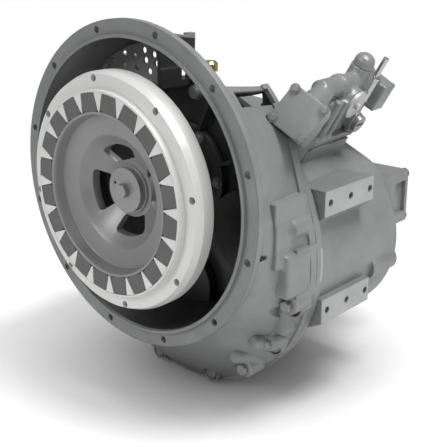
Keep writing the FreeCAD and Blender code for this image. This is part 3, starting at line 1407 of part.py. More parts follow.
def selector_spool():
    """Selector spool with its threaded stem; it turns in the valve's end block."""
    place = VALVE_PLACE * FreeCAD.Placement(FreeCAD.Vector(14, 139, 0), FACING_UP)
    body = placed_body("selector_spool", place)
    turned(body, "spool", [
        (0, -D.stem_high), (D.stem_rad, -D.stem_high), (D.stem_rad, -13), (D.spool_rad, -13),
        (D.spool_rad, 29.5), (0, 29.5),
    ])


def case_fittings():
    """Dipstick and tube, drain plug and breather."""
    tube = placed_body("dipstick_tube", FreeCAD.Placement(FreeCAD.Vector(-120, 300, 60.1), UPRIGHT))
    primitive(tube, "AdditiveCylinder", "tube", FreeCAD.Placement(), Radius=D.tube_rad, Height=46)
    primitive(tube, "SubtractiveCylinder", "bore", FreeCAD.Placement(), Radius=D.stick_rad + 1, Height=46)
    stick = placed_body("dipstick", FreeCAD.Placement(FreeCAD.Vector(-120, 300, 0), UPRIGHT))
    primitive(stick, "AdditiveCylinder", "rod", FreeCAD.Placement(FreeCAD.Vector(0, 0, -215), UPRIGHT),
              Radius=D.stick_rad, Height=327)
    primitive(stick, "AdditiveCylinder", "cap", FreeCAD.Placement(FreeCAD.Vector(0, 0, 106.4), UPRIGHT),
              Radius=D.tube_rad + 2, Height=9)
    primitive(stick, "AdditiveTorus", "handle",
              FreeCAD.Placement(FreeCAD.Vector(0, 0, 126), FreeCAD.Rotation(ACROSS_X, 90)),
              Radius1=11, Radius2=2.5)
    drain = placed_body("drain_plug", FreeCAD.Placement(FreeCAD.Vector(60, 225, -324), FACING_UP))
    sides = [polar(as_dim(14), 60 * index) for index in range(6)]
    slab(drain, "head", sides, as_dim(0.1), as_dim(9))
    disc(drain, "thread", as_dim(9), as_dim(-12), as_dim(0.1))
    breather = placed_body("breather", FreeCAD.Placement(FreeCAD.Vector(-40, 215, 135), FACING_UP))
    turned(breather, "breather", [
        (0, -26), (11, -26), (14, -22), (14, -10), (8, -10), (8, -0.1), (6, -0.1), (6, 16), (0, 16),
    ])


def build():
    """Model every sub-part."""
    bell_housing()
    main_case()
    case_gasket()
    case_screws()
    vent_screen()
    bearing_carrier()
    bearing_rings()
    rear_cover()
    output_cover()
    oil_pump()
    strainer_cover()
    valve_body()
    valve_fittings()
    selector_spool()
    case_fittings()
    drive_ring()
    rubber_blocks()
    drive_hub()
    hub_retainer()
    shafts()
    gears()
    inner_races("input_inner_races", INPUT, (D.bearing_front, REAR_BEARING))
    inner_races("reverse_inner_races", REVERSE, (D.bearing_front, REAR_BEARING))
    inner_races("output_inner_races", OUTPUT, (D.bearing_front,), BIG_BEARING)
    clutch("forward", INPUT)
    clutch("reverse", REVERSE)
    output_flange()


def check_cuts():
    """Stop if a cutting feature took nothing away."""
    for feature in DOC.Objects:
        kind = feature.TypeId.rpartition("::")[2]
        if kind in ("Pocket", "Groove") or kind.startswith("Subtractive"):
            before = feature.BaseFeature.Shape.Volume
            if feature.Shape.Volume > before - 1:
                raise ValueError(f"{feature.Label} of {feature.getParent().Label} cuts nothing")


def sub_parts():
    """The finished sub-parts: bodies and gears."""
    return [part for part in DOC.Objects if part.TypeId in ("PartDesign::Body", "Part::Feature")]


def export():
    """Check every object, then write each sub-part's shape."""
    for part in DOC.Objects:
        if {"Invalid", "Error"} & set(part.State):
            raise ValueError(f"{part.Label} failed: {part.State}")
    for part in sub_parts():
        if part.Shape.isNull() or not part.Shape.isValid():
            raise ValueError(f"{part.Label} has no valid shape")
    check_cuts()
    os.makedirs("parts", exist_ok=True)
    for part in sub_parts():
        part.Shape.exportStep(f"parts/{part.Label}.step")
        print(part.Label, len(part.Shape.Solids), round(part.Shape.Volume))


build()
DOC.recompute()
export()
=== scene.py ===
"""Dresses the marine gearbox in paint, metal and rubber, and stands it in a white studio.

Most CAD solids keep their shapes and get a finish. The driving ring, its blocks, the hub and
the valve body are made again here in finer form, and the small parts that a fitter would put
on last are added. Lengths are in metres, except where a docstring says millimetres.
"""

from __future__ import annotations

import json
import logging
import math
from collections.abc import Iterable, Sequence
from dataclasses import dataclass, field
from enum import Enum
from itertools import product

import bmesh
import bpy
import numpy as np
from mathutils import Matrix, Vector

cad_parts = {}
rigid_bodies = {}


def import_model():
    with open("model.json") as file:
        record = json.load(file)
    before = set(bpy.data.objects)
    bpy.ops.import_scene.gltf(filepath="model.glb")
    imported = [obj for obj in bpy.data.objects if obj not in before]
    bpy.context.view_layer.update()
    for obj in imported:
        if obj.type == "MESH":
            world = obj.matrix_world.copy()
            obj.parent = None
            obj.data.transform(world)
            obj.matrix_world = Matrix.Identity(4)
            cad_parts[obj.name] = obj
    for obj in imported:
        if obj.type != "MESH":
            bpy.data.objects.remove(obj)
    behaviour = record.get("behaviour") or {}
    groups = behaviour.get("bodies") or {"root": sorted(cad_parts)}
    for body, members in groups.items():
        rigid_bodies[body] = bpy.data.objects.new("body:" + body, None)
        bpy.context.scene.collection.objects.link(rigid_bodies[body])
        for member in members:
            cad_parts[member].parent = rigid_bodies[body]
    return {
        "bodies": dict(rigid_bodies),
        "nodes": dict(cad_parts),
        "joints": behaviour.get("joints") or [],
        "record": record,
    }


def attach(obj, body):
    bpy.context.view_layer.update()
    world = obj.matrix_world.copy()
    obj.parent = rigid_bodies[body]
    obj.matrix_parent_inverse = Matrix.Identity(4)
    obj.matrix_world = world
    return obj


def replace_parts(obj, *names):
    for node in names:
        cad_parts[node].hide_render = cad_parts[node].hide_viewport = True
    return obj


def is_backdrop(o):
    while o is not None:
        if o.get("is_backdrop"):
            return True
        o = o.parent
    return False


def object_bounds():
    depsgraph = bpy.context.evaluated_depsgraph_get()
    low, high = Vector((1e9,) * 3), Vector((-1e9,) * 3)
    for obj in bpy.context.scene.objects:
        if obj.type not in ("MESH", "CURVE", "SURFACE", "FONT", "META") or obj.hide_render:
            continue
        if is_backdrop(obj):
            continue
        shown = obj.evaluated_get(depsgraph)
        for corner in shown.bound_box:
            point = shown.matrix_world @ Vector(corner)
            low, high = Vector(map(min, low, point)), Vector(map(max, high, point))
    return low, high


Socket = bpy.types.NodeSocket
Piece = bpy.types.Object
Point = tuple[float, float, float]

LOG = logging.getLogger("gearbox")
MM = 0.001
TURN = 2 * math.pi
WHITE = (1.0, 1.0, 1.0, 1.0)
BEVEL_SAMPLES = 4
HEAD_SHARE = 0.93
WELD_GAP = 0.001 * MM
SAME_CORNER = 0.01 * MM
WAVES_PER_UNIT = 20
ROUND_STEPS = 128
HOLE_STEPS = 24
RING_WANDER = 0.6
LEAST_ROUGH = 0.05
SOFTENING = 0.5
LUMP = "lump"
BOX_FACES = ((0, 1, 3, 2), (4, 6, 7, 5), (0, 4, 5, 1), (2, 3, 7, 6), (0, 2, 6, 4), (1, 5, 7, 3))


class Surface(Enum):
    """How a surface was made, which decides its pattern."""

    CAST = "sand casting under paint"
    TURNED = "turned in a lathe, with rings about an axis along Y"
    MOULDED = "moulded in a tool"
    SHEET = "rolled sheet or ground steel"


class NodeSheet:
    """A node tree and the few calls that fill it."""

    def __init__(self, tree: bpy.types.NodeTree) -> None:
        """Takes a tree.

        Args:
            tree: the tree.
        """
        self.tree = tree

    def add(
        self, kind: str, settings: dict[str, object] | None = None, **inputs: object
    ) -> bpy.types.Node:
        """Adds a node.

        Args:
            kind: the node's type.
            settings: properties of the node, by name.
            **inputs: values or sockets for its inputs, with spaces written as underscores.

        Returns:
            The new node.
        """
        node = self.tree.nodes.new(kind)
        for name, value in (settings or {}).items():
            setattr(node, name, value)
        for name, value in inputs.items():
            label = name.replace("_", " ")
            open_sockets = [i for i in node.inputs if i.name == label and i.enabled]
            self.feed(open_sockets[0], value)
        return node

    def feed(self, socket: Socket, value: object) -> None:
        """Links a socket into an input, or sets the input's value.

        Args:
            socket: the input.
            value: an output socket, or a plain value.
        """
        if isinstance(value, Socket):
            self.tree.links.new(value, socket)
        else:
            socket.default_value = value

    def reckon(self, first: object, operation: str, second: object) -> Socket:
        """Works out a number from two others.

        Args:
            first: a socket or a number.
            operation: the Math node's operation.
            second: a socket or a number.

        Returns:
            The result's socket.
        """
        node = self.add("ShaderNodeMath", {"operation": operation})
        self.feed(node.inputs[0], first)
        self.feed(node.inputs[1], second)
        return node.outputs[0]

    def spread(
        self,
        value: object,
        start: float,
        end: float,
        low: float = 0.0,
        high: float = 1.0,
        smooth: bool = True,
    ) -> Socket:
        """Maps one range of numbers onto another.

        Args:
            value: a socket or a number.
            start: where the range starts.
            end: where the range ends.
            low: the result at the start.
            high: the result at the end.
            smooth: whether the result eases in and out.

        Returns:
            The result's socket.
        """
        node = self.add("ShaderNodeMapRange", Value=value)
        if smooth:
            node.interpolation_type = "SMOOTHSTEP"
        limits = {"From Min": start, "From Max": end, "To Min": low, "To Max": high}
        for name, limit in limits.items():
            node.inputs[name].default_value = limit
        return node.outputs["Result"]


class ShaderSheet(NodeSheet):
    """A material's nodes, with the object coordinates at hand."""

    def __init__(self, name: str) -> None:
        """Makes an empty material.

        Args:
            name: the material's name.
        """
        self.material = bpy.data.materials.new(name)
        self.material.use_nodes = True
        super().__init__(self.material.node_tree)
        self.tree.nodes.clear()
        self.output = self.add("ShaderNodeOutputMaterial")
        self.place = self.add("ShaderNodeTexCoord").outputs["Object"]


@dataclass(frozen=True)
class Finish:
    """One finish of the gearbox, made only of procedural nodes.

    Args:
        name: a maker's name for it.
        slot: the record's material slot; not used.
        surface: how the surface was made.
        colour: linear colour.
        roughness: micro roughness of the shader.
        metallic: 1 for bare metal, 0 for paint and rubber.
        grain: distance between the bumps or tool marks.
        relief: height of the bumps or tool marks.
        mottle: share by which the colour varies from place to place.
        edge: radius by which the shader rounds a sharp edge.
        cloud_scale: how close together the clouds of colour lie.
        cloud_low: share of the clouds that is fully dark.
        cloud_high: share of the clouds from which the colour is fully pale.
        sheen_scale: how close together the spots of different roughness lie.
        sheen_swing: how far the roughness varies each way.
    """

    name: str
    slot: str
    surface: Surface
    colour: Point
    roughness: float
    metallic: float = 0.0
    grain: float = 1.5 * MM
    relief: float = 0.12 * MM
    mottle: float = 0.06
    edge: float = 0.8 * MM
    cloud_scale: float = 14.0
    cloud_low: float = 0.3
    cloud_high: float = 0.7
    sheen_scale: float = 38.0
    sheen_swing: float = 0.08

    def material(self) -> bpy.types.Material:
        """Builds the material, or finds it if it is there already.

        Returns:
            The material.
        """
        known = bpy.data.materials.get(self.name)
        if known:
            return known
        sheet = ShaderSheet(self.name)
        shader = sheet.add("ShaderNodeBsdfPrincipled", Metallic=self.metallic)
        sheet.feed(shader.inputs["Base Color"], self.tone(sheet))
        sheet.feed(shader.inputs["Roughness"], self.sheen(sheet))
        sheet.feed(shader.inputs["Normal"], self.bumps(sheet))
        sheet.feed(sheet.output.inputs["Surface"], shader.outputs["BSDF"])
        return sheet.material

    def cover(self, piece: Piece) -> None:
        """Gives a piece this finish and no other.

        Args:
            piece: the piece.
        """
        piece.data.materials.clear()
        piece.data.materials.append(self.material())

    def tone(self, sheet: ShaderSheet) -> Socket:
        """Lets the colour wander a little, as paint and metal do.

        Args:
            sheet: the material.

        Returns:
            The colour socket.
        """
        cloud = sheet.add(
            "ShaderNodeTexNoise", Vector=sheet.place, Scale=self.cloud_scale, Detail=3.0
        )
        cloud.inputs["Roughness"].default_value = 0.6
        dark = tuple(c * (1 - self.mottle) for c in self.colour) + (1.0,)
        pale = tuple(min(1.0, c * (1 + self.mottle)) for c in self.colour) + (1.0,)
        ramp = sheet.add("ShaderNodeValToRGB")
        ends = ((self.cloud_low, dark), (self.cloud_high, pale))
        for element, (position, colour) in zip(ramp.color_ramp.elements, ends):
            element.position = position
            element.color = colour
        sheet.feed(ramp.inputs["Fac"], cloud.outputs["Fac"])
        return ramp.outputs["Color"]

    def sheen(self, sheet: ShaderSheet) -> Socket:
        """Varies the roughness over a few centimetres, as hands and oil leave it.

        Args:
            sheet: the material.

        Returns:
            The roughness socket.
        """
        cloud = sheet.add(
            "ShaderNodeTexNoise", Vector=sheet.place, Scale=self.sheen_scale, Detail=2.0
        )
        low = max(LEAST_ROUGH, self.roughness - self.sheen_swing)
        high = min(1.0, self.roughness + self.sheen_swing)
        return sheet.spread(cloud.outputs["Fac"], 0.0, 1.0, low, high, smooth=False)

    def bumps(self, sheet: ShaderSheet) -> Socket:
        """Makes the grain of the casting or the marks of the tool.

        Args:
            sheet: the material.

        Returns:
            The normal socket.
        """
        soft_edge = sheet.add("ShaderNodeBevel", {"samples": BEVEL_SAMPLES}, Radius=self.edge)
        bump = sheet.add("ShaderNodeBump", Strength=1.0, Distance=self.relief)
        sheet.feed(bump.inputs["Height"], self.height(sheet))
        sheet.feed(bump.inputs["Normal"], soft_edge.outputs["Normal"])
        return bump.outputs["Normal"]

    def height(self, sheet: ShaderSheet) -> Socket:
        """Picks the height pattern of the surface.

        Args:
            sheet: the material.

        Returns:
            The height socket, from 0 to 1.
        """
        if self.surface is Surface.TURNED:
            rings = sheet.add(
                "ShaderNodeTexWave",
                {"wave_type": "RINGS", "rings_direction": "Y"},
                Vector=sheet.place,
                Scale=TURN / (WAVES_PER_UNIT * self.grain),
                Distortion=RING_WANDER,
                Detail=1.0,
            )
            return rings.outputs["Fac"]
        detail = {Surface.CAST: 4.0, Surface.MOULDED: 1.0, Surface.SHEET: 0.0}[self.surface]
        scale = 1 / self.grain
        grain = sheet.add("ShaderNodeTexNoise", Vector=sheet.place, Scale=scale, Detail=detail)
        return grain.outputs["Fac"]


@dataclass(frozen=True)
class HousingPaint(Finish):
    """The housing's satin grey, darker on the bolting face, with painted shade in the unlit bell.

    Args:
        face_share: share of the colour that the bolting face keeps, as it is drawn darker.
        inside_share: share of the colour that the bell's inside keeps under painted shade.
        face_depth: how far back the bolting face's tone reaches.
        inside_rad: radius of the bell's inside at the bolting face.
        taper: how much that radius shrinks for each metre back.
        inside_end: where the bell ends, behind the bolting face.
        far_wall: how far across to the left the painted shade inside has faded out.
        deep_start: how far back the painted shade on the bell's rear wall starts.
        deep_end: how far back that painted shade is full.
        pad_face: distance across of the milled pad faces.
        pad_start: where the pads start, behind the bolting face.
        pad_gain: share of the colour that the milled pad faces gain.
    """

    face_share: float = 0.8
    inside_share: float = 0.12
    face_depth: float = 1 * MM
    inside_rad: float = 227 * MM
    taper: float = 0.146
    inside_end: float = 131 * MM
    far_wall: float = -150 * MM
    deep_start: float = 75 * MM
    deep_end: float = 110 * MM
    pad_face: float = 244.6 * MM
    pad_start: float = 140 * MM
    pad_gain: float = 0.55

    def tone(self, sheet: ShaderSheet) -> Socket:
        """Darkens the bolting face, paints shade in the bell, and bares the milled pads.

        Args:
            sheet: the material.

        Returns:
            The colour socket.
        """
        base = super().tone(sheet)
        parts = sheet.add("ShaderNodeSeparateXYZ", Vector=sheet.place)
        across, back = parts.outputs["X"], parts.outputs["Y"]
        flat = sheet.add("ShaderNodeVectorMath", {"operation": "MULTIPLY"})
        sheet.feed(flat.inputs[0], sheet.place)
        flat.inputs[1].default_value = (1.0, 0.0, 1.0)
        radius = sheet.add("ShaderNodeVectorMath", {"operation": "LENGTH"})
        sheet.feed(radius.inputs[0], flat.outputs[0])

        # Painted shade inside the bell, fading out towards the left inner wall as painted light
        # there.
        shrink = sheet.reckon(back, "MULTIPLY", self.taper)
        limit = sheet.reckon(self.inside_rad, "SUBTRACT", shrink)
        within = sheet.reckon(radius.outputs["Value"], "LESS_THAN", limit)
        behind = sheet.reckon(back, "GREATER_THAN", self.face_depth)
        before = sheet.reckon(back, "LESS_THAN", self.inside_end)
        inside = sheet.reckon(within, "MULTIPLY", sheet.reckon(behind, "MULTIPLY", before))
        near_side = sheet.spread(across, self.far_wall, 0.0)
        deep = sheet.spread(back, self.deep_start, self.deep_end)
        painted_shade = sheet.reckon(inside, "MULTIPLY", sheet.reckon(near_side, "MAXIMUM", deep))
        painted_shade_loss = sheet.reckon(painted_shade, "MULTIPLY", 1 - self.inside_share)

        # The bolting face is drawn darker than the rest of the housing.
        on_face = sheet.reckon(back, "LESS_THAN", self.face_depth)
        face_loss = sheet.reckon(on_face, "MULTIPLY", 1 - self.face_share)

        outwards = sheet.reckon(across, "ABSOLUTE", 0.0)
        outermost = sheet.reckon(outwards, "GREATER_THAN", self.pad_face)
        on_pads = sheet.reckon(back, "GREATER_THAN", self.pad_start)
        milled = sheet.reckon(outermost, "MULTIPLY", on_pads)
        pad_gain = sheet.reckon(milled, "MULTIPLY", self.pad_gain)

        lost = sheet.reckon(painted_shade_loss, "ADD", face_loss)
        kept = sheet.reckon(sheet.reckon(1.0, "SUBTRACT", lost), "ADD", pad_gain)
        shaded = sheet.add("ShaderNodeVectorMath", {"operation": "SCALE"}, Scale=kept)
        sheet.feed(shaded.inputs[0], base)
        return shaded.outputs[0]


HOUSING = HousingPaint(
    "housing paint", "housing_paint", Surface.CAST, (0.25, 0.254, 0.254), 0.38, 0.15,
    mottle=0.13, edge=3.0 * MM,
)
HUB_IRON = Finish(
    "hub iron", "cast_iron_dark", Surface.CAST, (0.25, 0.25, 0.25), 0.4, 0.3, edge=1.5 * MM
)
# Painted shade: the bearing carrier behind the hub's windows is near black so they look dark.
PAINTED_SHADE_IRON = Finish("painted shade iron", "cast_iron_dark", Surface.CAST, (0.05, 0.05, 0.05), 0.5, 0.2)
RING_METAL = Finish(
    "ring metal", "ring_metal", Surface.TURNED, (0.66, 0.66, 0.65), 0.36, 0.2,
    grain=1.2 * MM, relief=0.02 * MM, mottle=0.03,
)
BLOCK_RUBBER = Finish(
    "block rubber", "block_rubber", Surface.MOULDED, (0.10, 0.10, 0.10), 0.55,
    grain=2 * MM, relief=0.05 * MM,
)
GASKET = Finish(
    "gasket fibre", "gasket", Surface.SHEET, (0.10, 0.09, 0.08), 0.8,
    grain=0.6 * MM, relief=0.05 * MM,
)
SCREW_STEEL = Finish(
    "screw steel", "screw_steel", Surface.SHEET, (0.30, 0.30, 0.30), 0.4, 0.6,
    grain=0.8 * MM, relief=0.02 * MM, mottle=0.1, edge=0.4 * MM,
)
SCREEN_STEEL = Finish(
    "screen steel", "screen_steel", Surface.SHEET, (0.16, 0.16, 0.16), 0.5,
    grain=1 * MM, relief=0.02 * MM, mottle=0.05, edge=0.2 * MM,
)
SEAL_RUBBER = Finish("seal rubber", "seal_rubber", Surface.MOULDED, (0.03, 0.03, 0.03), 0.5)
BEARING_STEEL = Finish(
    "bearing steel", "bearing_steel", Surface.TURNED, (0.62, 0.62, 0.61), 0.22, 1.0,
    grain=0.8 * MM, relief=0.01 * MM,
)
LIGHT_ALLOY = Finish(
    "light alloy", "light_alloy", Surface.CAST, (0.52, 0.52, 0.52), 0.38, 0.3,
    grain=1 * MM, relief=0.06 * MM,
)
BRASS = Finish(
    "brass", "brass_plug", Surface.TURNED, (0.56, 0.44, 0.22), 0.3, 1.0,
    grain=0.8 * MM, relief=0.01 * MM,
)
SHAFT_STEEL = Finish(
    "shaft steel", "shaft_steel", Surface.TURNED, (0.50, 0.50, 0.50), 0.3, 0.9,
    grain=1 * MM, relief=0.015 * MM,
)
GEAR_STEEL = Finish(
    "gear steel", "gear_steel", Surface.SHEET, (0.46, 0.46, 0.47), 0.3, 1.0,
    grain=1 * MM, relief=0.02 * MM,
)
PLATE_STEEL = Finish(
    "plate steel", "plate_steel", Surface.SHEET, (0.40, 0.38, 0.34), 0.5, 0.8,
    grain=1 * MM, relief=0.03 * MM,
)


def link(name: str, data: bpy.types.ID) -> Piece:
    """Makes an object and puts it in the scene.

    Args:
        name: the object's name.
        data: its mesh, lamp or camera.

    Returns:
        The object, at the origin.
    """
    piece = bpy.data.objects.new(name, data)
    bpy.context.scene.collection.objects.link(piece)
    return piece


def settled(piece: Piece) -> Piece:
    """Turns a piece with live modifiers into a plain mesh.

    Args:
        piece: the piece.

    Returns:
        The same piece, with its modifiers applied.
    """
    seen = piece.evaluated_get(bpy.context.evaluated_depsgraph_get())
    mesh = bpy.data.meshes.new_from_object(seen)
    piece.modifiers.clear()
    piece.data = mesh
    return piece


def face_out(mesh: bpy.types.Mesh) -> None:
    """Turns every face of a closed mesh outwards.

    Args:
        mesh: the mesh.
    """
    work = bmesh.new()
    work.from_mesh(mesh)
    bmesh.ops.remove_doubles(work, verts=work.verts, dist=WELD_GAP)
    bmesh.ops.recalc_face_normals(work, faces=work.faces)
    work.to_mesh(mesh)
    work.free()


def solid(
    name: str,
    corners: Sequence[Point],
    faces: Sequence[tuple[int, ...]],
    turn: Matrix | None = None,
) -> Piece:
    """Makes a closed solid of corners and faces.

    Args:
        name: the piece's name.
        corners: its corners.
        faces: its faces, in either turning sense.
        turn: the frame that the corners are in, or None for the part's own.

    Returns:
        The piece.
    """
    mesh = bpy.data.meshes.new(name)
    mesh.from_pydata(corners, [], faces)
    if turn is not None:
        mesh.transform(turn)
    face_out(mesh)
    return link(name, mesh)


def revolve(name: str, profile: Sequence[tuple[float, float]]) -> Piece:
    """Turns a closed profile about the input axis.

    Args:
        name: the piece's name.
        profile: corners as (radius, distance back).

    Returns:
        The piece.
    """
    corners, faces = [], []
    count = len(profile)
    for step in range(ROUND_STEPS):
        angle = TURN * step / ROUND_STEPS
        ray_x, ray_z = math.sin(angle), math.cos(angle)
        corners += [(radius * ray_x, back, radius * ray_z) for radius, back in profile]
        here, there = step * count, (step + 1) % ROUND_STEPS * count
        for index in range(count):
            follow = (index + 1) % count
            faces.append((here + index, here + follow, there + follow, there + index))
    return solid(name, corners, faces)


def prism(
    name: str, outline: Sequence[tuple[float, float]], start: float, end: float
) -> Piece:
    """Extrudes an outline along the input axis.

    Args:
        name: the piece's name.
        outline: corners as (across, up).
        start: front end.
        end: rear end.

    Returns:
        The piece.
    """
    count = len(outline)
    corners = [(x, back, z) for back in (start, end) for x, z in outline]
    faces = [tuple(range(count)), tuple(range(2 * count - 1, count - 1, -1))]
    faces += [(i, (i + 1) % count, (i + 1) % count + count, i + count) for i in range(count)]
    return solid(name, corners, faces)


def cut(piece: Piece, cutters: Iterable[Piece]) -> Piece:
    """Takes cutters out of a piece and throws them away.

    Args:
        piece: the piece.
        cutters: what is taken out.

    Returns:
        The piece as a plain mesh.
    """
    tools = list(cutters)
    for tool in tools:
        hollow = piece.modifiers.new("cut", "BOOLEAN")
        hollow.operation = "DIFFERENCE"
        hollow.solver = "EXACT"
        hollow.object = tool
    settled(piece)
    for tool in tools:
        bpy.data.objects.remove(tool)
    return piece


def round_edges(
    piece: Piece, width: float, segments: int = 2, angle: float = 35.0
) -> Piece:
    """Rounds the sharp edges of a piece.

    Args:
        piece: the piece.
        width: radius of the rounding.
        segments: facets in the rounding.
        angle: least angle of an edge that is rounded, in degrees.

    Returns:
        The piece as a plain mesh.
    """
    soft = piece.modifiers.new("soft", "BEVEL")
    soft.width = width
    soft.segments = segments
    soft.limit_method = "ANGLE"
    soft.angle_limit = math.radians(angle)
    return settled(piece)


def shade_by_angle(piece: Piece, angle: float = 32.0) -> None:
    """Shades the gentle edges smooth and keeps the sharp ones.

    Args:
        piece: the piece.
        angle: least angle of a sharp edge, in degrees.
    """
    mesh = piece.data
    mesh.shade_smooth()
    work = bmesh.new()
    work.from_mesh(mesh)
    limit = math.radians(angle)
    for edge in work.edges:
        edge.smooth = len(edge.link_faces) == 2 and edge.calc_face_angle(0.0) < limit
    work.to_mesh(mesh)
    work.free()


def ring_point(radius: float, degrees: float) -> tuple[float, float]:
    """Finds a point on a circle about the input axis.

    Args:
        radius: the circle's radius.
        degrees: angle from the top, turning towards the right side.

    Returns:
        The point as (across, up).
    """
    angle = math.radians(degrees)
    return radius * math.sin(angle), radius * math.cos(angle)


def wear(finish: Finish, nodes: Iterable[str], frame: dict) -> None:
    """Gives CAD nodes a finish.

    Args:
        finish: what they are finished in.
        nodes: the nodes' names.
        frame: the loaded frame.
    """
    for name in nodes:
        finish.cover(frame["nodes"][name])
        LOG.info("%s wears %s", name, finish.name)


def settle(piece: Piece, body: str, finish: Finish) -> Piece:
    """Gives a mesh its finish and puts it on a CAD body.

    Args:
        piece: the mesh, at the origin.
        body: the body that carries it.
        finish: what it is finished in.

    Returns:
        The piece.
    """
    finish.cover(piece)
    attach(piece, body)
    LOG.info("%s rides on %s, %d faces", piece.name, body, len(piece.data.polygons))
    return piece


@dataclass(frozen=True)
class Seat:
    """Where a screw stands.

    Args:
        place: middle of the face under its head.
        out: the way out of the hole.
        head_high: height of its head.
        head_rad: radius of its head over the corners.
    """

    place: Vector
    out: Vector
    head_high: float
    head_rad: float


def loose_solids(node: Piece) -> list[np.ndarray]:
    """Splits a CAD node into its separate solids.

    Args:
        node: the node's object.

    Returns:
        One array of corners for each solid.
    """
    corners = np.array([tuple(v.co) for v in node.data.vertices])
    keys = np.round(corners / SAME_CORNER).astype(int)
    _, same = np.unique(keys, axis=0, return_inverse=True)
    same = same.ravel()
    group = list(range(int(same.max()) + 1))

    def root(i: int) -> int:
        """Follows a corner to the first of its solid.

        Args:
            i: the corner.

        Returns:
            The first corner.
        """
        while group[i] != i:
            group[i] = group[group[i]]
            i = group[i]
        return i

    for face in node.data.polygons:
        first, *rest = (root(int(same[v])) for v in face.vertices)
        for other in rest:
            group[root(other)] = root(first)
    owners = np.array([root(int(i)) for i in same])
    return [corners[owners == owner] for owner in np.unique(owners)]


def screw_seats(node: Piece) -> list[Seat]:
    """Finds the seat of each screw in a node of hexagon screws.

    Args:
        node: the node's object.

    Returns:
        The seats.
    """
    seats = []
    for corners in loose_solids(node):
        unique = np.unique(np.round(corners, 6), axis=0)
        middle = unique.mean(0)
        values, directions = np.linalg.eigh(np.cov((unique - middle).T))
        lone = 0 if values[1] - values[0] > values[2] - values[1] else 2
        out = directions[:, lone]
        along = (unique - middle) @ out
        across = np.linalg.norm((unique - middle) - np.outer(along, out), axis=1)
        head = across > HEAD_SHARE * across.max()
        if along[head].mean() < 0:
            out, along = -out, -along
        place = middle + out * along[head].min()
        high, rad = float(np.ptp(along[head])), float(across.max())
        seats.append(Seat(Vector(place), Vector(out), high, rad))
    return seats


class GrowthTree(NodeSheet):
    """A geometry node tree with named sizes, which ends as one plain mesh."""

    def __init__(self, name: str, **sizes: float) -> None:
        """Starts the tree.

        Args:
            name: the tree's name.
            **sizes: its named inputs and their usual values, with spaces written as underscores.
        """
        super().__init__(bpy.data.node_groups.new(name, "GeometryNodeTree"))
        for way in ("INPUT", "OUTPUT"):
            self.tree.interface.new_socket("Geometry", in_out=way, socket_type="NodeSocketGeometry")
        for size, value in sizes.items():
            entry = self.tree.interface.new_socket(
                size.replace("_", " "), in_out="INPUT", socket_type="NodeSocketFloat"
            )
            entry.default_value = value
        self.entry = self.add("NodeGroupInput")
        self.exit = self.add("NodeGroupOutput")

    def size(self, name: str) -> Socket:
        """Finds the socket of a named size.

        Args:
            name: the size's name.

        Returns:
            Its socket.
        """
        return self.entry.outputs[name]

    def lift(self, geometry: Socket, height: object) -> Socket:
        """Moves a shape up its own Z axis.

        Args:
            geometry: the shape.
            height: how far.

        Returns:
            The moved shape.
        """
        rise = self.add("ShaderNodeCombineXYZ", Z=height)
        moved = self.add("GeometryNodeTransform", Geometry=geometry, Translation=rise.outputs[0])
        return moved.outputs["Geometry"]

    def join(self, *shapes: Socket) -> Socket:
        """Joins shapes into one.

        Args:
            *shapes: the shapes.

        Returns:
            The joined shape.
        """
        joined = self.add("GeometryNodeJoinGeometry")
        for shape in shapes:
            self.feed(joined.inputs[0], shape)
        return joined.outputs[0]

    def end(self, instances: Socket) -> None:
        """Makes instances real and ends the tree.

        Args:
            instances: the instances.
        """
        real = self.add("GeometryNodeRealizeInstances", Geometry=instances)
        self.feed(self.exit.inputs["Geometry"], real.outputs["Geometry"])

    def stand_on_points(self, shape: Socket) -> None:
        """Stands a shape on every point, along the point's own direction, and ends the tree.

        Args:
            shape: what stands there.
        """
        way = self.add(
            "GeometryNodeInputNamedAttribute", {"data_type": "FLOAT_VECTOR"}, Name="out"
        )
        turn = self.add(
            "FunctionNodeAlignRotationToVector", {"axis": "Z"}, Vector=way.outputs["Attribute"]
        )
        stand = self.add(
            "GeometryNodeInstanceOnPoints",
            Points=self.entry.outputs["Geometry"],
            Instance=shape,
            Rotation=turn.outputs["Rotation"],
        )
        self.end(stand.outputs["Instances"])

    def grow(self, name: str, seats: Sequence[Seat], **sizes: float) -> Piece:
        """Runs the tree on a row of seats.

        Args:
            name: the new piece's name.
            seats: where the shapes stand.
            **sizes: the values of the named inputs for this piece.

        Returns:
            The plain mesh, at the origin.
        """
        points = bpy.data.meshes.new(name + " points")
        points.from_pydata([tuple(seat.place) for seat in seats], [], [])
        ways = points.attributes.new("out", "FLOAT_VECTOR", "POINT")
        ways.data.foreach_set("vector", [part for seat in seats for part in seat.out])
        piece = link(name, points)
        modifier = piece.modifiers.new("grow", "NODES")
        modifier.node_group = self.tree
        for item in self.tree.interface.items_tree:
            key = item.name.replace(" ", "_")
            if item.in_out == "INPUT" and key in sizes:
                modifier[item.identifier] = sizes[key]
        settled(piece).data.name = name
        return piece


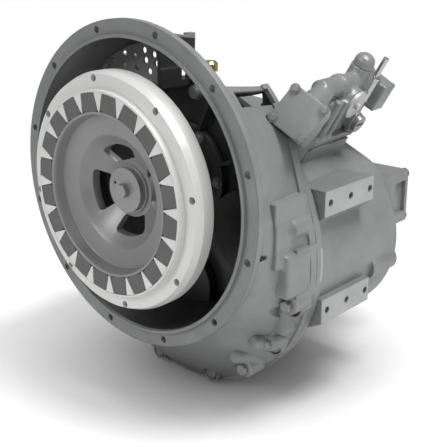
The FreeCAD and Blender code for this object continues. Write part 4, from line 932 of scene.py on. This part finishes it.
@dataclass
class ScrewDressing:
    """Washers under the screw heads, and the turned crown on top of each head."""

    washer_thick: float = 1.6 * MM
    washer_lip: float = 2.2 * MM
    crown_high: float = 0.7 * MM
    crown_share: float = 0.74
    foot_share: float = 0.86
    washer_sides: int = 28
    crown_sides: int = 24
    tree: GrowthTree = field(init=False)

    def __post_init__(self) -> None:
        """Builds the tree once for all rows."""
        grow = GrowthTree(
            "screw dressing",
            Head_Radius=10 * MM,
            Head_Height=8 * MM,
            Washer=self.washer_thick,
            Lip=self.washer_lip,
        )
        head = grow.size("Head Radius")
        outside = grow.reckon(head, "ADD", grow.size("Lip"))
        disc = grow.add(
            "GeometryNodeMeshCylinder",
            {"fill_type": "NGON"},
            Vertices=self.washer_sides,
            Radius=outside,
            Depth=grow.size("Washer"),
        )
        half = grow.reckon(grow.size("Washer"), "MULTIPLY", 0.5)
        washer = grow.lift(disc.outputs["Mesh"], half)
        crown = grow.add(
            "GeometryNodeMeshCone",
            {"fill_type": "NGON"},
            Vertices=self.crown_sides,
            Radius_Top=grow.reckon(head, "MULTIPLY", self.crown_share),
            Radius_Bottom=grow.reckon(head, "MULTIPLY", self.foot_share),
            Depth=self.crown_high,
        )
        top = grow.lift(crown.outputs["Mesh"], grow.size("Head Height"))
        grow.stand_on_points(grow.join(washer, top))
        self.tree = grow

    def dress(self, node: Piece, body: str) -> None:
        """Dresses one row of screws.

        Args:
            node: the CAD node with the screws.
            body: the body that they are on.
        """
        seats = screw_seats(node)
        piece = self.tree.grow(
            node.name + "_washers",
            seats,
            Head_Radius=seats[0].head_rad,
            Head_Height=seats[0].head_high,
        )
        settle(piece, body, SCREW_STEEL)


@dataclass(frozen=True)
class Lamp:
    """One soft box.

    Args:
        name: the lamp's name.
        place: where it hangs.
        aim: the point that it faces.
        width: its side.
        watts: its power.
    """

    name: str
    place: Point
    aim: Point
    width: float
    watts: float

    def light(self) -> None:
        """Hangs the lamp."""
        data = bpy.data.lights.new(self.name, "AREA")
        data.shape = "SQUARE"
        data.size = self.width
        data.energy = self.watts
        lamp = link(self.name, data)
        lamp.location = self.place
        lamp.rotation_mode = "QUATERNION"
        way = Vector(self.aim) - Vector(self.place)
        lamp.rotation_quaternion = way.to_track_quat("-Z", "Y")


@dataclass(frozen=True)
class Camera:
    """The photographer's place, worked out from the round faces in the picture.

    Args:
        place: where the camera stands.
        azimuth: its turn about the upright axis, in degrees.
        elevation: its height angle, in degrees.
        roll: its tilt to the side, in degrees.
        lens: focal length, in millimetres.
        sensor: width of the picture in the camera, in millimetres.
        near: nearest distance that is drawn.
        far: farthest distance that is drawn.
    """

    place: Point = (0.9143, -0.8112, 0.3477)
    azimuth: float = 42.02
    elevation: float = 18.33
    roll: float = -0.22
    lens: float = 69.07
    sensor: float = 36.0
    near: float = 0.05
    far: float = 50.0

    def stand(self) -> None:
        """Makes the camera and gives it to the scene."""
        data = bpy.data.cameras.new("camera")
        data.lens = self.lens
        data.sensor_width = self.sensor
        data.clip_start = self.near
        data.clip_end = self.far
        camera = link("camera", data)
        turn, rise = math.radians(self.azimuth), math.radians(self.elevation)
        upright = Matrix.Rotation(turn, 4, "Z") @ Matrix.Rotation(math.pi / 2 - rise, 4, "X")
        tilt = Matrix.Rotation(math.radians(self.roll), 4, "Z")
        camera.matrix_world = Matrix.Translation(self.place) @ upright @ tilt
        bpy.context.scene.camera = camera


@dataclass(frozen=True)
class Studio:
    """A white floor with the gearbox's shadow and painted shade, a white world, three soft boxes.

    Args:
        floor_half: half of the floor's side.
        floor_tone: the paper's share of white.
        ambient: strength of the world as a light.
        shade_start: distance at which the floor starts to fade to white.
        shade_end: distance at which it is fully white.
        nook_reach: how far the painted shade under the gearbox reaches.
        nook_samples: rays that measure it.
        nook_dark: openness at which the painted shade is fully dark.
        nook_light: openness at which there is no painted shade.
        lift: light that the open paper adds for the camera.
        lamps: the soft boxes.
    """

    floor_half: float = 6.0
    floor_tone: float = 0.92
    ambient: float = 0.3
    shade_start: float = 0.42
    shade_end: float = 0.85
    nook_reach: float = 0.3
    nook_samples: int = 16
    nook_dark: float = -0.04
    nook_light: float = 0.95
    lift: float = 0.35
    lamps: tuple[Lamp, ...] = (
        Lamp("key lamp", (-0.7, -2.3, 1.5), (0, 0, 0), 1.1, 32.0),
        Lamp("top lamp", (1.15, 0.4, 2.3), (0.05, 0.15, 0), 0.9, 60.0),
        Lamp("side lamp", (2.4, -0.8, 0.9), (0, 0.1, -0.05), 0.9, 5.0),
    )

    def furnish(self, low: Vector, high: Vector) -> None:
        """Builds the floor, the world and the lamps.

        Args:
            low: lowest corner of the gearbox.
            high: highest corner of the gearbox.
        """
        centre = (low + high) / 2
        self.floor(low.z, centre)
        self.world()
        for lamp in self.lamps:
            lamp.light()
        bpy.context.scene.view_settings.view_transform = "Standard"

    def world(self) -> None:
        """Makes the world white to the eye and in reflections, and dimmer as a light."""
        world = bpy.data.worlds.new("studio")
        world.use_nodes = True
        bpy.context.scene.world = world
        world.node_tree.nodes.clear()
        sheet = NodeSheet(world.node_tree)
        path = sheet.add("ShaderNodeLightPath")
        camera, glass = path.outputs["Is Camera Ray"], path.outputs["Is Transmission Ray"]
        seen = sheet.reckon(camera, "ADD", glass)
        strength = sheet.spread(seen, 0.0, 1.0, self.ambient, 1.0, smooth=False)
        sky = sheet.add("ShaderNodeBackground", Color=WHITE, Strength=strength)
        sheet.add("ShaderNodeOutputWorld", Surface=sky.outputs[0])

    def floor(self, height: float, centre: Vector) -> None:
        """Lays the floor, with painted shade near the gearbox, fading to white away from it.

        Args:
            height: the floor's height.
            centre: the middle of the gearbox.
        """
        half = self.floor_half
        mesh = bpy.data.meshes.new("floor")
        sides = ((-half, -half), (half, -half), (half, half), (-half, half))
        mesh.from_pydata([(x, y, height) for x, y in sides], [], [(0, 1, 2, 3)])
        floor = link("floor", mesh)
        sheet = ShaderSheet("floor paper")
        away = sheet.add("ShaderNodeVectorMath", {"operation": "DISTANCE"})
        sheet.feed(away.inputs[0], sheet.place)
        away.inputs[1].default_value = (centre.x, centre.y, height)
        fade = sheet.spread(away.outputs["Value"], self.shade_start, self.shade_end)
        camera_ray = sheet.add("ShaderNodeLightPath").outputs["Is Camera Ray"]
        # Painted shade: ambient occlusion darkens the paper and its glow near the gearbox.
        shade_probe = sheet.add(
            "ShaderNodeAmbientOcclusion", {"samples": self.nook_samples}, Distance=self.nook_reach
        )
        unshaded_share = sheet.spread(
            shade_probe.outputs["AO"], self.nook_dark, self.nook_light, smooth=False
        )
        tone = sheet.reckon(unshaded_share, "MULTIPLY", self.floor_tone)
        paper = sheet.add("ShaderNodeBsdfDiffuse", Color=tone)
        seen_lift = sheet.reckon(camera_ray, "MULTIPLY", self.lift)
        lift = sheet.reckon(unshaded_share, "MULTIPLY", seen_lift)
        glow = sheet.add("ShaderNodeEmission", Color=WHITE, Strength=lift)
        near = sheet.add("ShaderNodeAddShader")
        sheet.feed(near.inputs[0], paper.outputs[0])
        sheet.feed(near.inputs[1], glow.outputs[0])
        white = sheet.add("ShaderNodeEmission", Color=WHITE, Strength=1.0)
        share = sheet.reckon(fade, "MULTIPLY", camera_ray)
        mix = sheet.add("ShaderNodeMixShader", Fac=share)
        sheet.feed(mix.inputs[1], near.outputs[0])
        sheet.feed(mix.inputs[2], white.outputs[0])
        sheet.feed(sheet.output.inputs["Surface"], mix.outputs[0])
        mesh.materials.append(sheet.material)
        floor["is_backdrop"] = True


@dataclass
class Casing:
    """Everything bolted together that does not turn."""

    plan: tuple[tuple[Finish, tuple[str, ...]], ...] = (
        (HOUSING, ("bell_housing", "main_case", "rear_cover", "output_cover")),
        (HOUSING, ("pump_body", "pump_valve_block", "strainer_cover", "valve_cap")),
        (SCREW_STEEL, ("valve_plug", "dipstick_tube")),
        (BRASS, ("drain_plug", "breather")),
        (LIGHT_ALLOY, ("valve_round_cover",)),
        # Painted shade on the bearing carrier, so the hub's windows look dark.
        (PAINTED_SHADE_IRON, ("bearing_carrier",)),
        (GASKET, ("case_gasket",)),
        (SCREEN_STEEL, ("vent_screen",)),
        (SEAL_RUBBER, ("input_oil_seal", "output_oil_seal")),
        (BEARING_STEEL, ("outer_races", "bearing_rollers")),
        (SHAFT_STEEL, ("pump_idler_pin",)),
    )
    screw_rows: tuple[str, ...] = (
        "case_screws", "inner_case_screws", "rear_cover_screws", "output_cover_screws",
        "pump_screws", "strainer_screws", "valve_screws", "vent_screen_screws", "carrier_screws",
    )

    def build(self, frame: dict, dressing: ScrewDressing) -> None:
        """Paints the castings and adds the screws' washers.

        Args:
            frame: the loaded frame.
            dressing: the tree that dresses screws.
        """
        for finish, nodes in self.plan:
            wear(finish, nodes, frame)
        wear(SCREW_STEEL, self.screw_rows, frame)
        for row in self.screw_rows:
            dressing.dress(frame["nodes"][row], "casing")


def placed(turn: Matrix, point: Sequence[float]) -> Vector:
    """Turns a point of a frame into the part's, both in millimetres.

    Args:
        turn: the frame.
        point: the point in that frame.

    Returns:
        The point in the part.
    """
    return (turn @ (Vector(point) * MM)) / MM


def weld(name: str, lumps: Sequence[Piece]) -> Piece:
    """Puts loose solids into one piece and leaves each as it is.

    Args:
        name: the piece's name.
        lumps: the solids, which are used up.

    Returns:
        The piece.
    """
    work = bmesh.new()
    for lump in lumps:
        work.from_mesh(lump.data)
        bpy.data.objects.remove(lump)
    mesh = bpy.data.meshes.new(name)
    work.to_mesh(mesh)
    work.free()
    return link(name, mesh)


def melt(
    name: str, lumps: Sequence[Piece], voxel: float, rounds: int
) -> Piece:
    """Melts overlapping lumps into one casting with rounded inner and outer corners.

    Args:
        name: the piece's name.
        lumps: the lumps, which are used up.
        voxel: size of the grid.
        rounds: how often the surface is smoothed.

    Returns:
        The casting.
    """
    casting = weld(name, lumps)
    grid = casting.modifiers.new("grid", "REMESH")
    grid.mode = "VOXEL"
    grid.voxel_size = voxel
    grid.use_smooth_shade = True
    soft = casting.modifiers.new("soft", "SMOOTH")
    soft.factor = SOFTENING
    soft.iterations = rounds
    settled(casting)
    face_out(casting.data)
    casting.data.shade_smooth()
    return casting


@dataclass(frozen=True)
class Box:
    """A box to be melted into a casting, in millimetres.

    Args:
        low: its lowest corner.
        high: its highest corner.
    """

    low: Point
    high: Point

    def lump(self, side: int = 1, turn: Matrix | None = None) -> Piece:
        """Makes the box.

        Args:
            side: 1 as it is given, -1 for its mirror image on the left.
            turn: the frame that it is in, or None for the part's own.

        Returns:
            The lump.
        """
        across = sorted((side * self.low[0], side * self.high[0]))
        spans = across, *zip(self.low[1:], self.high[1:])
        corners = [tuple(c * MM for c in corner) for corner in product(*spans)]
        return solid(LUMP, corners, BOX_FACES, turn)


@dataclass(frozen=True)
class Bar:
    """A round bar to be melted into a casting, in millimetres.

    Args:
        start: middle of its first end.
        end: middle of its other end.
        radius: radius at the first end.
        end_radius: radius at the other end, or None for the same.
    """

    start: Sequence[float]
    end: Sequence[float]
    radius: float
    end_radius: float | None = None

    def lump(
        self, side: int = 1, turn: Matrix | None = None, sides: int = 32
    ) -> Piece:
        """Makes the bar.

        Args:
            side: 1 as it is given, -1 for its mirror image on the left.
            turn: the frame that it is in, or None for the part's own.
            sides: how many flats make the round.

        Returns:
            The lump.
        """
        ends = [Vector((side * x, y, z)) for x, y, z in (self.start, self.end)]
        if turn is not None:
            ends = [placed(turn, end) for end in ends]
        first, last = (end * MM for end in ends)
        work = bmesh.new()
        bmesh.ops.create_cone(
            work,
            cap_ends=True,
            segments=sides,
            radius1=self.radius * MM,
            radius2=(self.radius if self.end_radius is None else self.end_radius) * MM,
            depth=(last - first).length,
        )
        upright = (last - first).to_track_quat("Z", "Y").to_matrix().to_4x4()
        stand = Matrix.Translation((first + last) / 2) @ upright
        bmesh.ops.transform(work, matrix=stand, verts=work.verts)
        mesh = bpy.data.meshes.new(LUMP)
        work.to_mesh(mesh)
        work.free()
        return link(LUMP, mesh)


@dataclass
class BellCasting:
    """The cast lumps on the bell's sides, round the screws of the joint behind it.

    Lengths are in millimetres. The lumps are given for the right side.
    """

    joint: float = 118.0
    boss_front: float = 80.0
    head_high: float = 7.5
    head_rad: float = 9.0
    head_sink: float = 0.5
    head_edge: float = 0.8
    boss_rad: float = 15.0
    bosses: tuple[tuple[float, float], ...] = ((231, -32), (233, -146), (196, -216), (152, -274))
    lug: Box = Box((205, 62, -130), (246, 116, -66))
    shoulder: Box = Box((200, 46, -26), (236, 117, 12))
    bridge: Box = Box((200, 46, -84), (238, 117, -20))
    low_wall: Box = Box((186, 84, -200), (224, 117, -128))
    low_rib: Bar = Bar((184, 62, -212), (192, 117, -222), 11, 20)
    foot_rib: Bar = Bar((145, 62, -248), (152, 117, -262), 11, 19)
    voxel: float = 2.2
    rounds: int = 6

    def build(self) -> None:
        """Makes the lumps on both sides."""
        for side, name in ((1, "right"), (-1, "left")):
            lumps = [self.lug, self.shoulder, self.bridge, self.low_wall]
            lumps += [self.low_rib, self.foot_rib]
            for across, up in self.bosses:
                ends = (across, self.boss_front, up), (across, self.joint - 1, up)
                lumps.append(Bar(*ends, self.boss_rad))
            lumps = [lump.lump(side) for lump in lumps]
            casting = melt(f"bell_{name}_lumps", lumps, self.voxel * MM, self.rounds)
            settle(casting, "casing", HOUSING)
            heads = [self.head(side, across, up) for across, up in self.bosses]
            screws = weld(f"bell_{name}_lump_screws", heads)
            round_edges(screws, self.head_edge * MM, 2)
            settle(screws, "casing", SCREW_STEEL)

    def head(self, side: int, across: float, up: float) -> Piece:
        """Makes the hexagon head of one screw, seated on its boss.

        Args:
            side: 1 for right, -1 for left.
            across: the screw's place across, on the right side.
            up: the screw's place up.

        Returns:
            The head.
        """
        seat = self.boss_front - self.head_sink
        ends = (across, seat - self.head_high, up), (across, seat, up)
        return Bar(*ends, self.head_rad).lump(side, sides=6)


@dataclass
class ValveCasting:
    """The control valve's body, cast in one with its bosses.

    Lengths are in millimetres and angles in degrees. The boxes and bars are in the valve's
    frame, whose Y runs along the barrel, and strainer_box is in the strainer's, whose Z
    comes out of its lid. A pipe starts in the strainer's frame and ends in the valve's.
    """

    valve_at: Point = (191.4, 200, 140.4)
    valve_turn: float = 5.7
    valve_lean: float = 30
    strainer_at: Point = (216.1, 116, 121.4)
    strainer_turn: float = -61.1
    strainer_lean: float = 67.8
    strainer_spin: float = 55.2
    strainer_box: Box = Box((-29.5, -29.5, -44), (29.5, 29.5, -8.2))
    high_pipe: tuple[Point, Point, float, float] = ((0, 6, -30), (0, 20, 0), 20, 15)
    low_pipe: tuple[Point, Point, float, float] = ((0, -8, -30), (0, 30, -40), 22, 20)
    barrel: Bar = Bar((0, -2, 0), (0, 128, 0), 15)
    barrel_end: Bar = Bar((0, 124, 0), (0, 142, 0), 16, 24)
    barrel_band: Bar = Bar((0, 52, -2), (0, 62, -2), 19)
    neck: Box = Box((-20, 6, -84), (20, 118, -14))
    foot: Box = Box((-31, -3, -88), (31, 138, -76))
    heel: Box = Box((-16, 110, -60), (20, 150, -10))
    end_block: Box = Box((-18, 140, -38), (38, 176, 8))
    side_boss: Bar = Bar((0, 78, -18), (28, 78, -18), 25, 23)
    plug_boss: Bar = Bar((0, 108, -53), (36, 108, -53), 19, 16)
    cap_boss: Bar = Bar((-4, 112, -34), (-4, 112, 25), 17)
    front_rib: Bar = Bar((24, 30, -80), (24, 30, -8), 7)
    rear_rib: Bar = Bar((24, 56, -80), (24, 56, -12), 6)
    spool_bore: Bar = Bar((14, 139, -30), (14, 139, 40), 9.4)
    voxel: float = 1.9
    rounds: int = 4
    valve: Matrix = field(init=False)
    strainer: Matrix = field(init=False)

    def __post_init__(self) -> None:
        """Works out the valve's frame and the strainer's."""
        face = self.spin(self.strainer_turn, "Z") @ self.spin(self.strainer_lean, "Y")
        lid = face @ self.spin(self.strainer_spin, "Z")
        self.strainer = Matrix.Translation(Vector(self.strainer_at) * MM) @ lid
        turn = self.spin(self.valve_turn, "Z") @ self.spin(self.valve_lean, "Y")
        self.valve = Matrix.Translation(Vector(self.valve_at) * MM) @ turn

    @staticmethod
    def spin(degrees: float, axis: str) -> Matrix:
        """Makes a turn about one axis.

        Args:
            degrees: how far.
            axis: X, Y or Z.

        Returns:
            The turn.
        """
        return Matrix.Rotation(math.radians(degrees), 4, axis)

    def build(self) -> None:
        """Melts the valve's body together and leaves the spool's bore open."""
        lumps = [self.barrel.lump(turn=self.valve), self.strainer_box.lump(turn=self.strainer)]
        for start, end, *radii in (self.high_pipe, self.low_pipe):
            ends = placed(self.strainer, start), placed(self.valve, end)
            lumps.append(Bar(*ends, *radii).lump())
        shapes = (
            self.barrel_end, self.barrel_band, self.neck, self.foot, self.heel, self.end_block,
            self.side_boss, self.plug_boss, self.cap_boss, self.front_rib, self.rear_rib,
        )
        lumps += [shape.lump(turn=self.valve) for shape in shapes]
        casting = melt("valve_casting", lumps, self.voxel * MM, self.rounds)
        cut(casting, [self.spool_bore.lump(turn=self.valve)])
        casting.data.shade_smooth()
        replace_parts(settle(casting, "casing", HOUSING), "valve_body")


@dataclass
class WedgeRow:
    """A row of wedges round the input axis: the ring's teeth, or the rubber blocks.

    Args:
        count: wedges in the row.
        corner_steps: facets in a rounded corner.
        edge: rounding of the wedges' edges.
        edge_angle: least angle of an edge that is rounded, in degrees.
    """

    count: int = 20
    corner_steps: int = 3
    edge: float = 0.5 * MM
    edge_angle: float = 50
    tree: GrowthTree = field(init=False)

    def __post_init__(self) -> None:
        """Builds the tree for both rows."""
        grow = GrowthTree(
            "wedge row",
            Count=float(self.count),
            Start=0.0,
            Inner_Radius=121 * MM,
            Outer_Radius=148 * MM,
            Inner_Width=35 * MM,
            Outer_Width=28 * MM,
            Corner=3 * MM,
            Depth=40 * MM,
            Back=-11 * MM,
        )
        high = grow.reckon(grow.size("Outer Radius"), "SUBTRACT", grow.size("Inner Radius"))
        outline = grow.add(
            "GeometryNodeCurvePrimitiveQuadrilateral",
            {"mode": "TRAPEZOID"},
            Height=high,
            Bottom_Width=grow.size("Inner Width"),
            Top_Width=grow.size("Outer Width"),
            Offset=0.0,
        )
        soft = grow.add(
            "GeometryNodeFilletCurve",
            {"mode": "POLY"},
            Curve=outline.outputs["Curve"],
            Radius=grow.size("Corner"),
        )
        soft.inputs["Count"].default_value = self.corner_steps
        face = grow.add(
            "GeometryNodeFillCurve", {"mode": "NGONS"}, Curve=soft.outputs["Curve"]
        )
        thick = grow.add("GeometryNodeExtrudeMesh", Mesh=face.outputs["Mesh"])
        thick.inputs["Individual"].default_value = False
        grow.feed(thick.inputs["Offset Scale"], grow.size("Depth"))
        base = grow.add("GeometryNodeFlipFaces", Mesh=face.outputs["Mesh"])
        whole = grow.join(thick.outputs["Mesh"], base.outputs["Mesh"])
        welded = grow.add("GeometryNodeMergeByDistance", Geometry=whole)
        half = grow.reckon(high, "MULTIPLY", 0.5)
        middle = grow.reckon(half, "ADD", grow.size("Inner Radius"))
        circle = grow.add("GeometryNodeMeshCircle", Vertices=self.count, Radius=middle)
        number = grow.add("GeometryNodeInputIndex")
        pitch = grow.reckon(TURN, "DIVIDE", grow.size("Count"))
        turned = grow.reckon(number.outputs[0], "MULTIPLY", pitch)
        angle = grow.reckon(turned, "SUBTRACT", TURN / 4)
        spin = grow.add("ShaderNodeCombineXYZ", Z=angle)
        turn = grow.add("FunctionNodeEulerToRotation", Euler=spin.outputs[0])
        row = grow.add(
            "GeometryNodeInstanceOnPoints",
            Points=circle.outputs["Mesh"],
            Instance=welded.outputs["Geometry"],
            Rotation=turn.outputs["Rotation"],
        )
        lean = grow.add("ShaderNodeCombineXYZ", Z=grow.size("Start"))
        placed = grow.add(
            "GeometryNodeTransform", Geometry=row.outputs["Instances"], Rotation=lean.outputs[0]
        )
        shift = grow.add("ShaderNodeCombineXYZ", Y=grow.size("Back"))
        upright = grow.add(
            "GeometryNodeTransform",
            Geometry=placed.outputs["Geometry"],
            Translation=shift.outputs[0],
        )
        upright.inputs["Rotation"].default_value = (TURN / 4, 0.0, 0.0)
        grow.end(upright.outputs["Geometry"])
        self.tree = grow

    def make(self, name: str, **sizes: float) -> Piece:
        """Makes one row.

        Args:
            name: the piece's name.
            **sizes: the named inputs of the tree.

        Returns:
            The plain mesh.
        """
        here = Seat(Vector((0, 0, 0)), Vector((0, 0, 1)), 0.0, 0.0)
        piece = self.tree.grow(name, [here], **sizes)
        return round_edges(piece, self.edge, 1, self.edge_angle)


@dataclass
class DriveRing:
    """The driving ring, its rubber blocks and the hub that they drive.

    Angles are in degrees, but first_block and half_pitch are in radians. The hub's profile
    is in millimetres, as (radius, distance back).
    """

    nose: float = -52 * MM
    face: float = -41 * MM
    shoulder: float = -30 * MM
    back: float = -11 * MM
    rim_rad: float = 151 * MM
    bevel_rad: float = 171.8 * MM
    ring_rad: float = 176.21 * MM
    block_out: float = 148 * MM
    block_in: float = 121.4 * MM
    block_wide_in: float = 34.5 * MM
    block_wide_out: float = 28 * MM
    tooth_wide_in: float = 2.2 * MM
    tooth_wide_out: float = 18.6 * MM
    block_corner: float = 4 * MM
    block_slack: float = 0.8 * MM
    block_sink: float = 0.2 * MM
    tooth_corner: float = 0.4 * MM
    tooth_sink: float = 1.2 * MM
    rim_round: float = 0.6 * MM
    ring_edge: float = 0.4 * MM
    ring_angle: float = 15
    shade_angle: float = 12
    cut_past: float = 5 * MM
    first_block: float = math.radians(10.2)
    half_pitch: float = math.radians(9)
    bolt_rad: float = 166.69 * MM
    bolt_hole: float = 5.3 * MM
    bolts: int = 8
    first_bolt: float = -8.0
    window_in: float = 43 * MM
    window_out: float = 69 * MM
    window_half: float = 29.0
    window_first: float = -10.0
    windows: int = 4
    window_steps: int = 8
    window_corner: float = 6 * MM
    window_front: float = -40 * MM
    window_back: float = 30 * MM
    window_facets: int = 3
    window_angle: float = 60
    hub_edge: float = 1.6 * MM
    hub_profile: tuple[tuple[float, float], ...] = (
        (22.1, -3), (37, -3), (37, 1), (44, 1), (79, -21), (83.5, -27.5), (85.5, -28.6),
        (111, -33), (113, -34), (115, -45), (117, -50.4), (119, -51), (121.1, -51),
        (121.1, -12), (106, -12), (93, -14), (88, -13), (50, 11), (44, 12), (44, 43.8),
        (22.1, 43.8),
    )

    def build(self, frame: dict) -> None:
        """Makes the ring, the blocks and the hub.

        Args:
            frame: the loaded frame.
        """
        wear(SCREW_STEEL, ("hub_retainer", "hub_bolt"), frame)
        rows = WedgeRow()
        teeth = rows.make(
            "ring_teeth",
            Start=self.first_block + self.half_pitch,
            Inner_Radius=self.block_in,
            Outer_Radius=self.block_out + self.tooth_sink,
            Inner_Width=self.tooth_wide_in,
            Outer_Width=self.tooth_wide_out,
            Corner=self.tooth_corner,
            Depth=self.back - self.nose,
            Back=self.back,
        )
        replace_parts(settle(teeth, "input_line", RING_METAL), "drive_ring")
        blocks = rows.make(
            "moulded_blocks",
            Start=self.first_block,
            Inner_Radius=self.block_in - self.block_sink,
            Outer_Radius=self.block_out,
            Inner_Width=self.block_wide_in,
            Outer_Width=self.block_wide_out,
            Corner=self.block_corner,
            Depth=self.back - self.nose - 2 * self.block_slack,
            Back=self.back - self.block_slack,
        )
        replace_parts(settle(blocks, "input_line", BLOCK_RUBBER), "rubber_blocks")
        self.ring()
        self.hub()

    def ring(self) -> None:
        """Turns the ring and drills its bolt holes."""
        ring = revolve(
            "ring_body",
            (
                (self.block_out, self.nose),
                (self.rim_rad, self.nose),
                (self.rim_rad + self.rim_round, self.face - self.rim_round),
                (self.rim_rad + 2 * self.rim_round, self.face),
                (self.bevel_rad, self.face),
                (self.ring_rad, self.shoulder),
                (self.ring_rad, self.back),
                (self.block_out, self.back),
            ),
        )
        rim = [ring_point(self.bolt_hole, 360 * step / HOLE_STEPS) for step in range(HOLE_STEPS)]
        holes = []
        for index in range(self.bolts):
            across, up = ring_point(self.bolt_rad, self.first_bolt + 360 / self.bolts * index)
            outline = [(across + x, up + z) for x, z in rim]
            ends = self.face - self.cut_past, self.back + self.cut_past
            holes.append(prism("hole", outline, *ends))
        cut(ring, holes)
        round_edges(ring, self.ring_edge, 2, self.ring_angle)
        shade_by_angle(ring, self.shade_angle)
        settle(ring, "input_line", RING_METAL)

    def hub(self) -> None:
        """Turns the hub and opens its four windows."""
        profile = [(radius * MM, back * MM) for radius, back in self.hub_profile]
        hub = revolve("hub_casting", profile)
        rounding = self.window_corner, self.window_facets, self.window_angle
        windows = []
        for index in range(self.windows):
            start = self.window_first + 360 / self.windows * index - self.window_half
            step = 2 * self.window_half / self.window_steps
            sides = [start + step * number for number in range(self.window_steps + 1)]
            outline = [ring_point(self.window_out, angle) for angle in sides]
            outline += [ring_point(self.window_in, angle) for angle in reversed(sides)]
            window = prism("window", outline, self.window_front, self.window_back)
            windows.append(round_edges(window, *rounding))
        cut(hub, windows)
        round_edges(hub, self.hub_edge, 2)
        shade_by_angle(hub)
        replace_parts(settle(hub, "input_line", HUB_IRON), "drive_hub")


@dataclass
class GearTrain:
    """Shafts, gears and clutches inside the case, and the output flange outside it."""

    plan: tuple[tuple[Finish, tuple[str, ...]], ...] = (
        (SHAFT_STEEL, ("input_shaft", "reverse_shaft", "output_shaft", "selector_spool")),
        (SHAFT_STEEL, ("dipstick", "forward_clutch_drum", "reverse_clutch_drum")),
        (SHAFT_STEEL, ("output_flange", "output_nut")),
        (GEAR_STEEL, ("input_gear", "reverse_gear", "forward_pinion", "reverse_pinion")),
        (GEAR_STEEL, ("output_gear", "pump_drive_gear", "pump_idler_gear")),
        (PLATE_STEEL, ("forward_clutch_plates", "reverse_clutch_plates")),
        (BEARING_STEEL, ("input_inner_races", "reverse_inner_races", "output_inner_races")),
    )

    def build(self, frame: dict) -> None:
        """Finishes the running gear.

        Args:
            frame: the loaded frame.
        """
        for finish, nodes in self.plan:
            wear(finish, nodes, frame)


def main() -> None:
    """Builds the dressed gearbox and its studio."""
    logging.basicConfig(level=logging.INFO, format="%(name)s: %(message)s")
    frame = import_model()
    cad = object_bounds()
    Camera().stand()
    Studio().furnish(*cad)
    dressing = ScrewDressing()
    Casing().build(frame, dressing)
    BellCasting().build()
    ValveCasting().build()
    DriveRing().build(frame)
    GearTrain().build(frame)


if __name__ == "__main__":
    main()
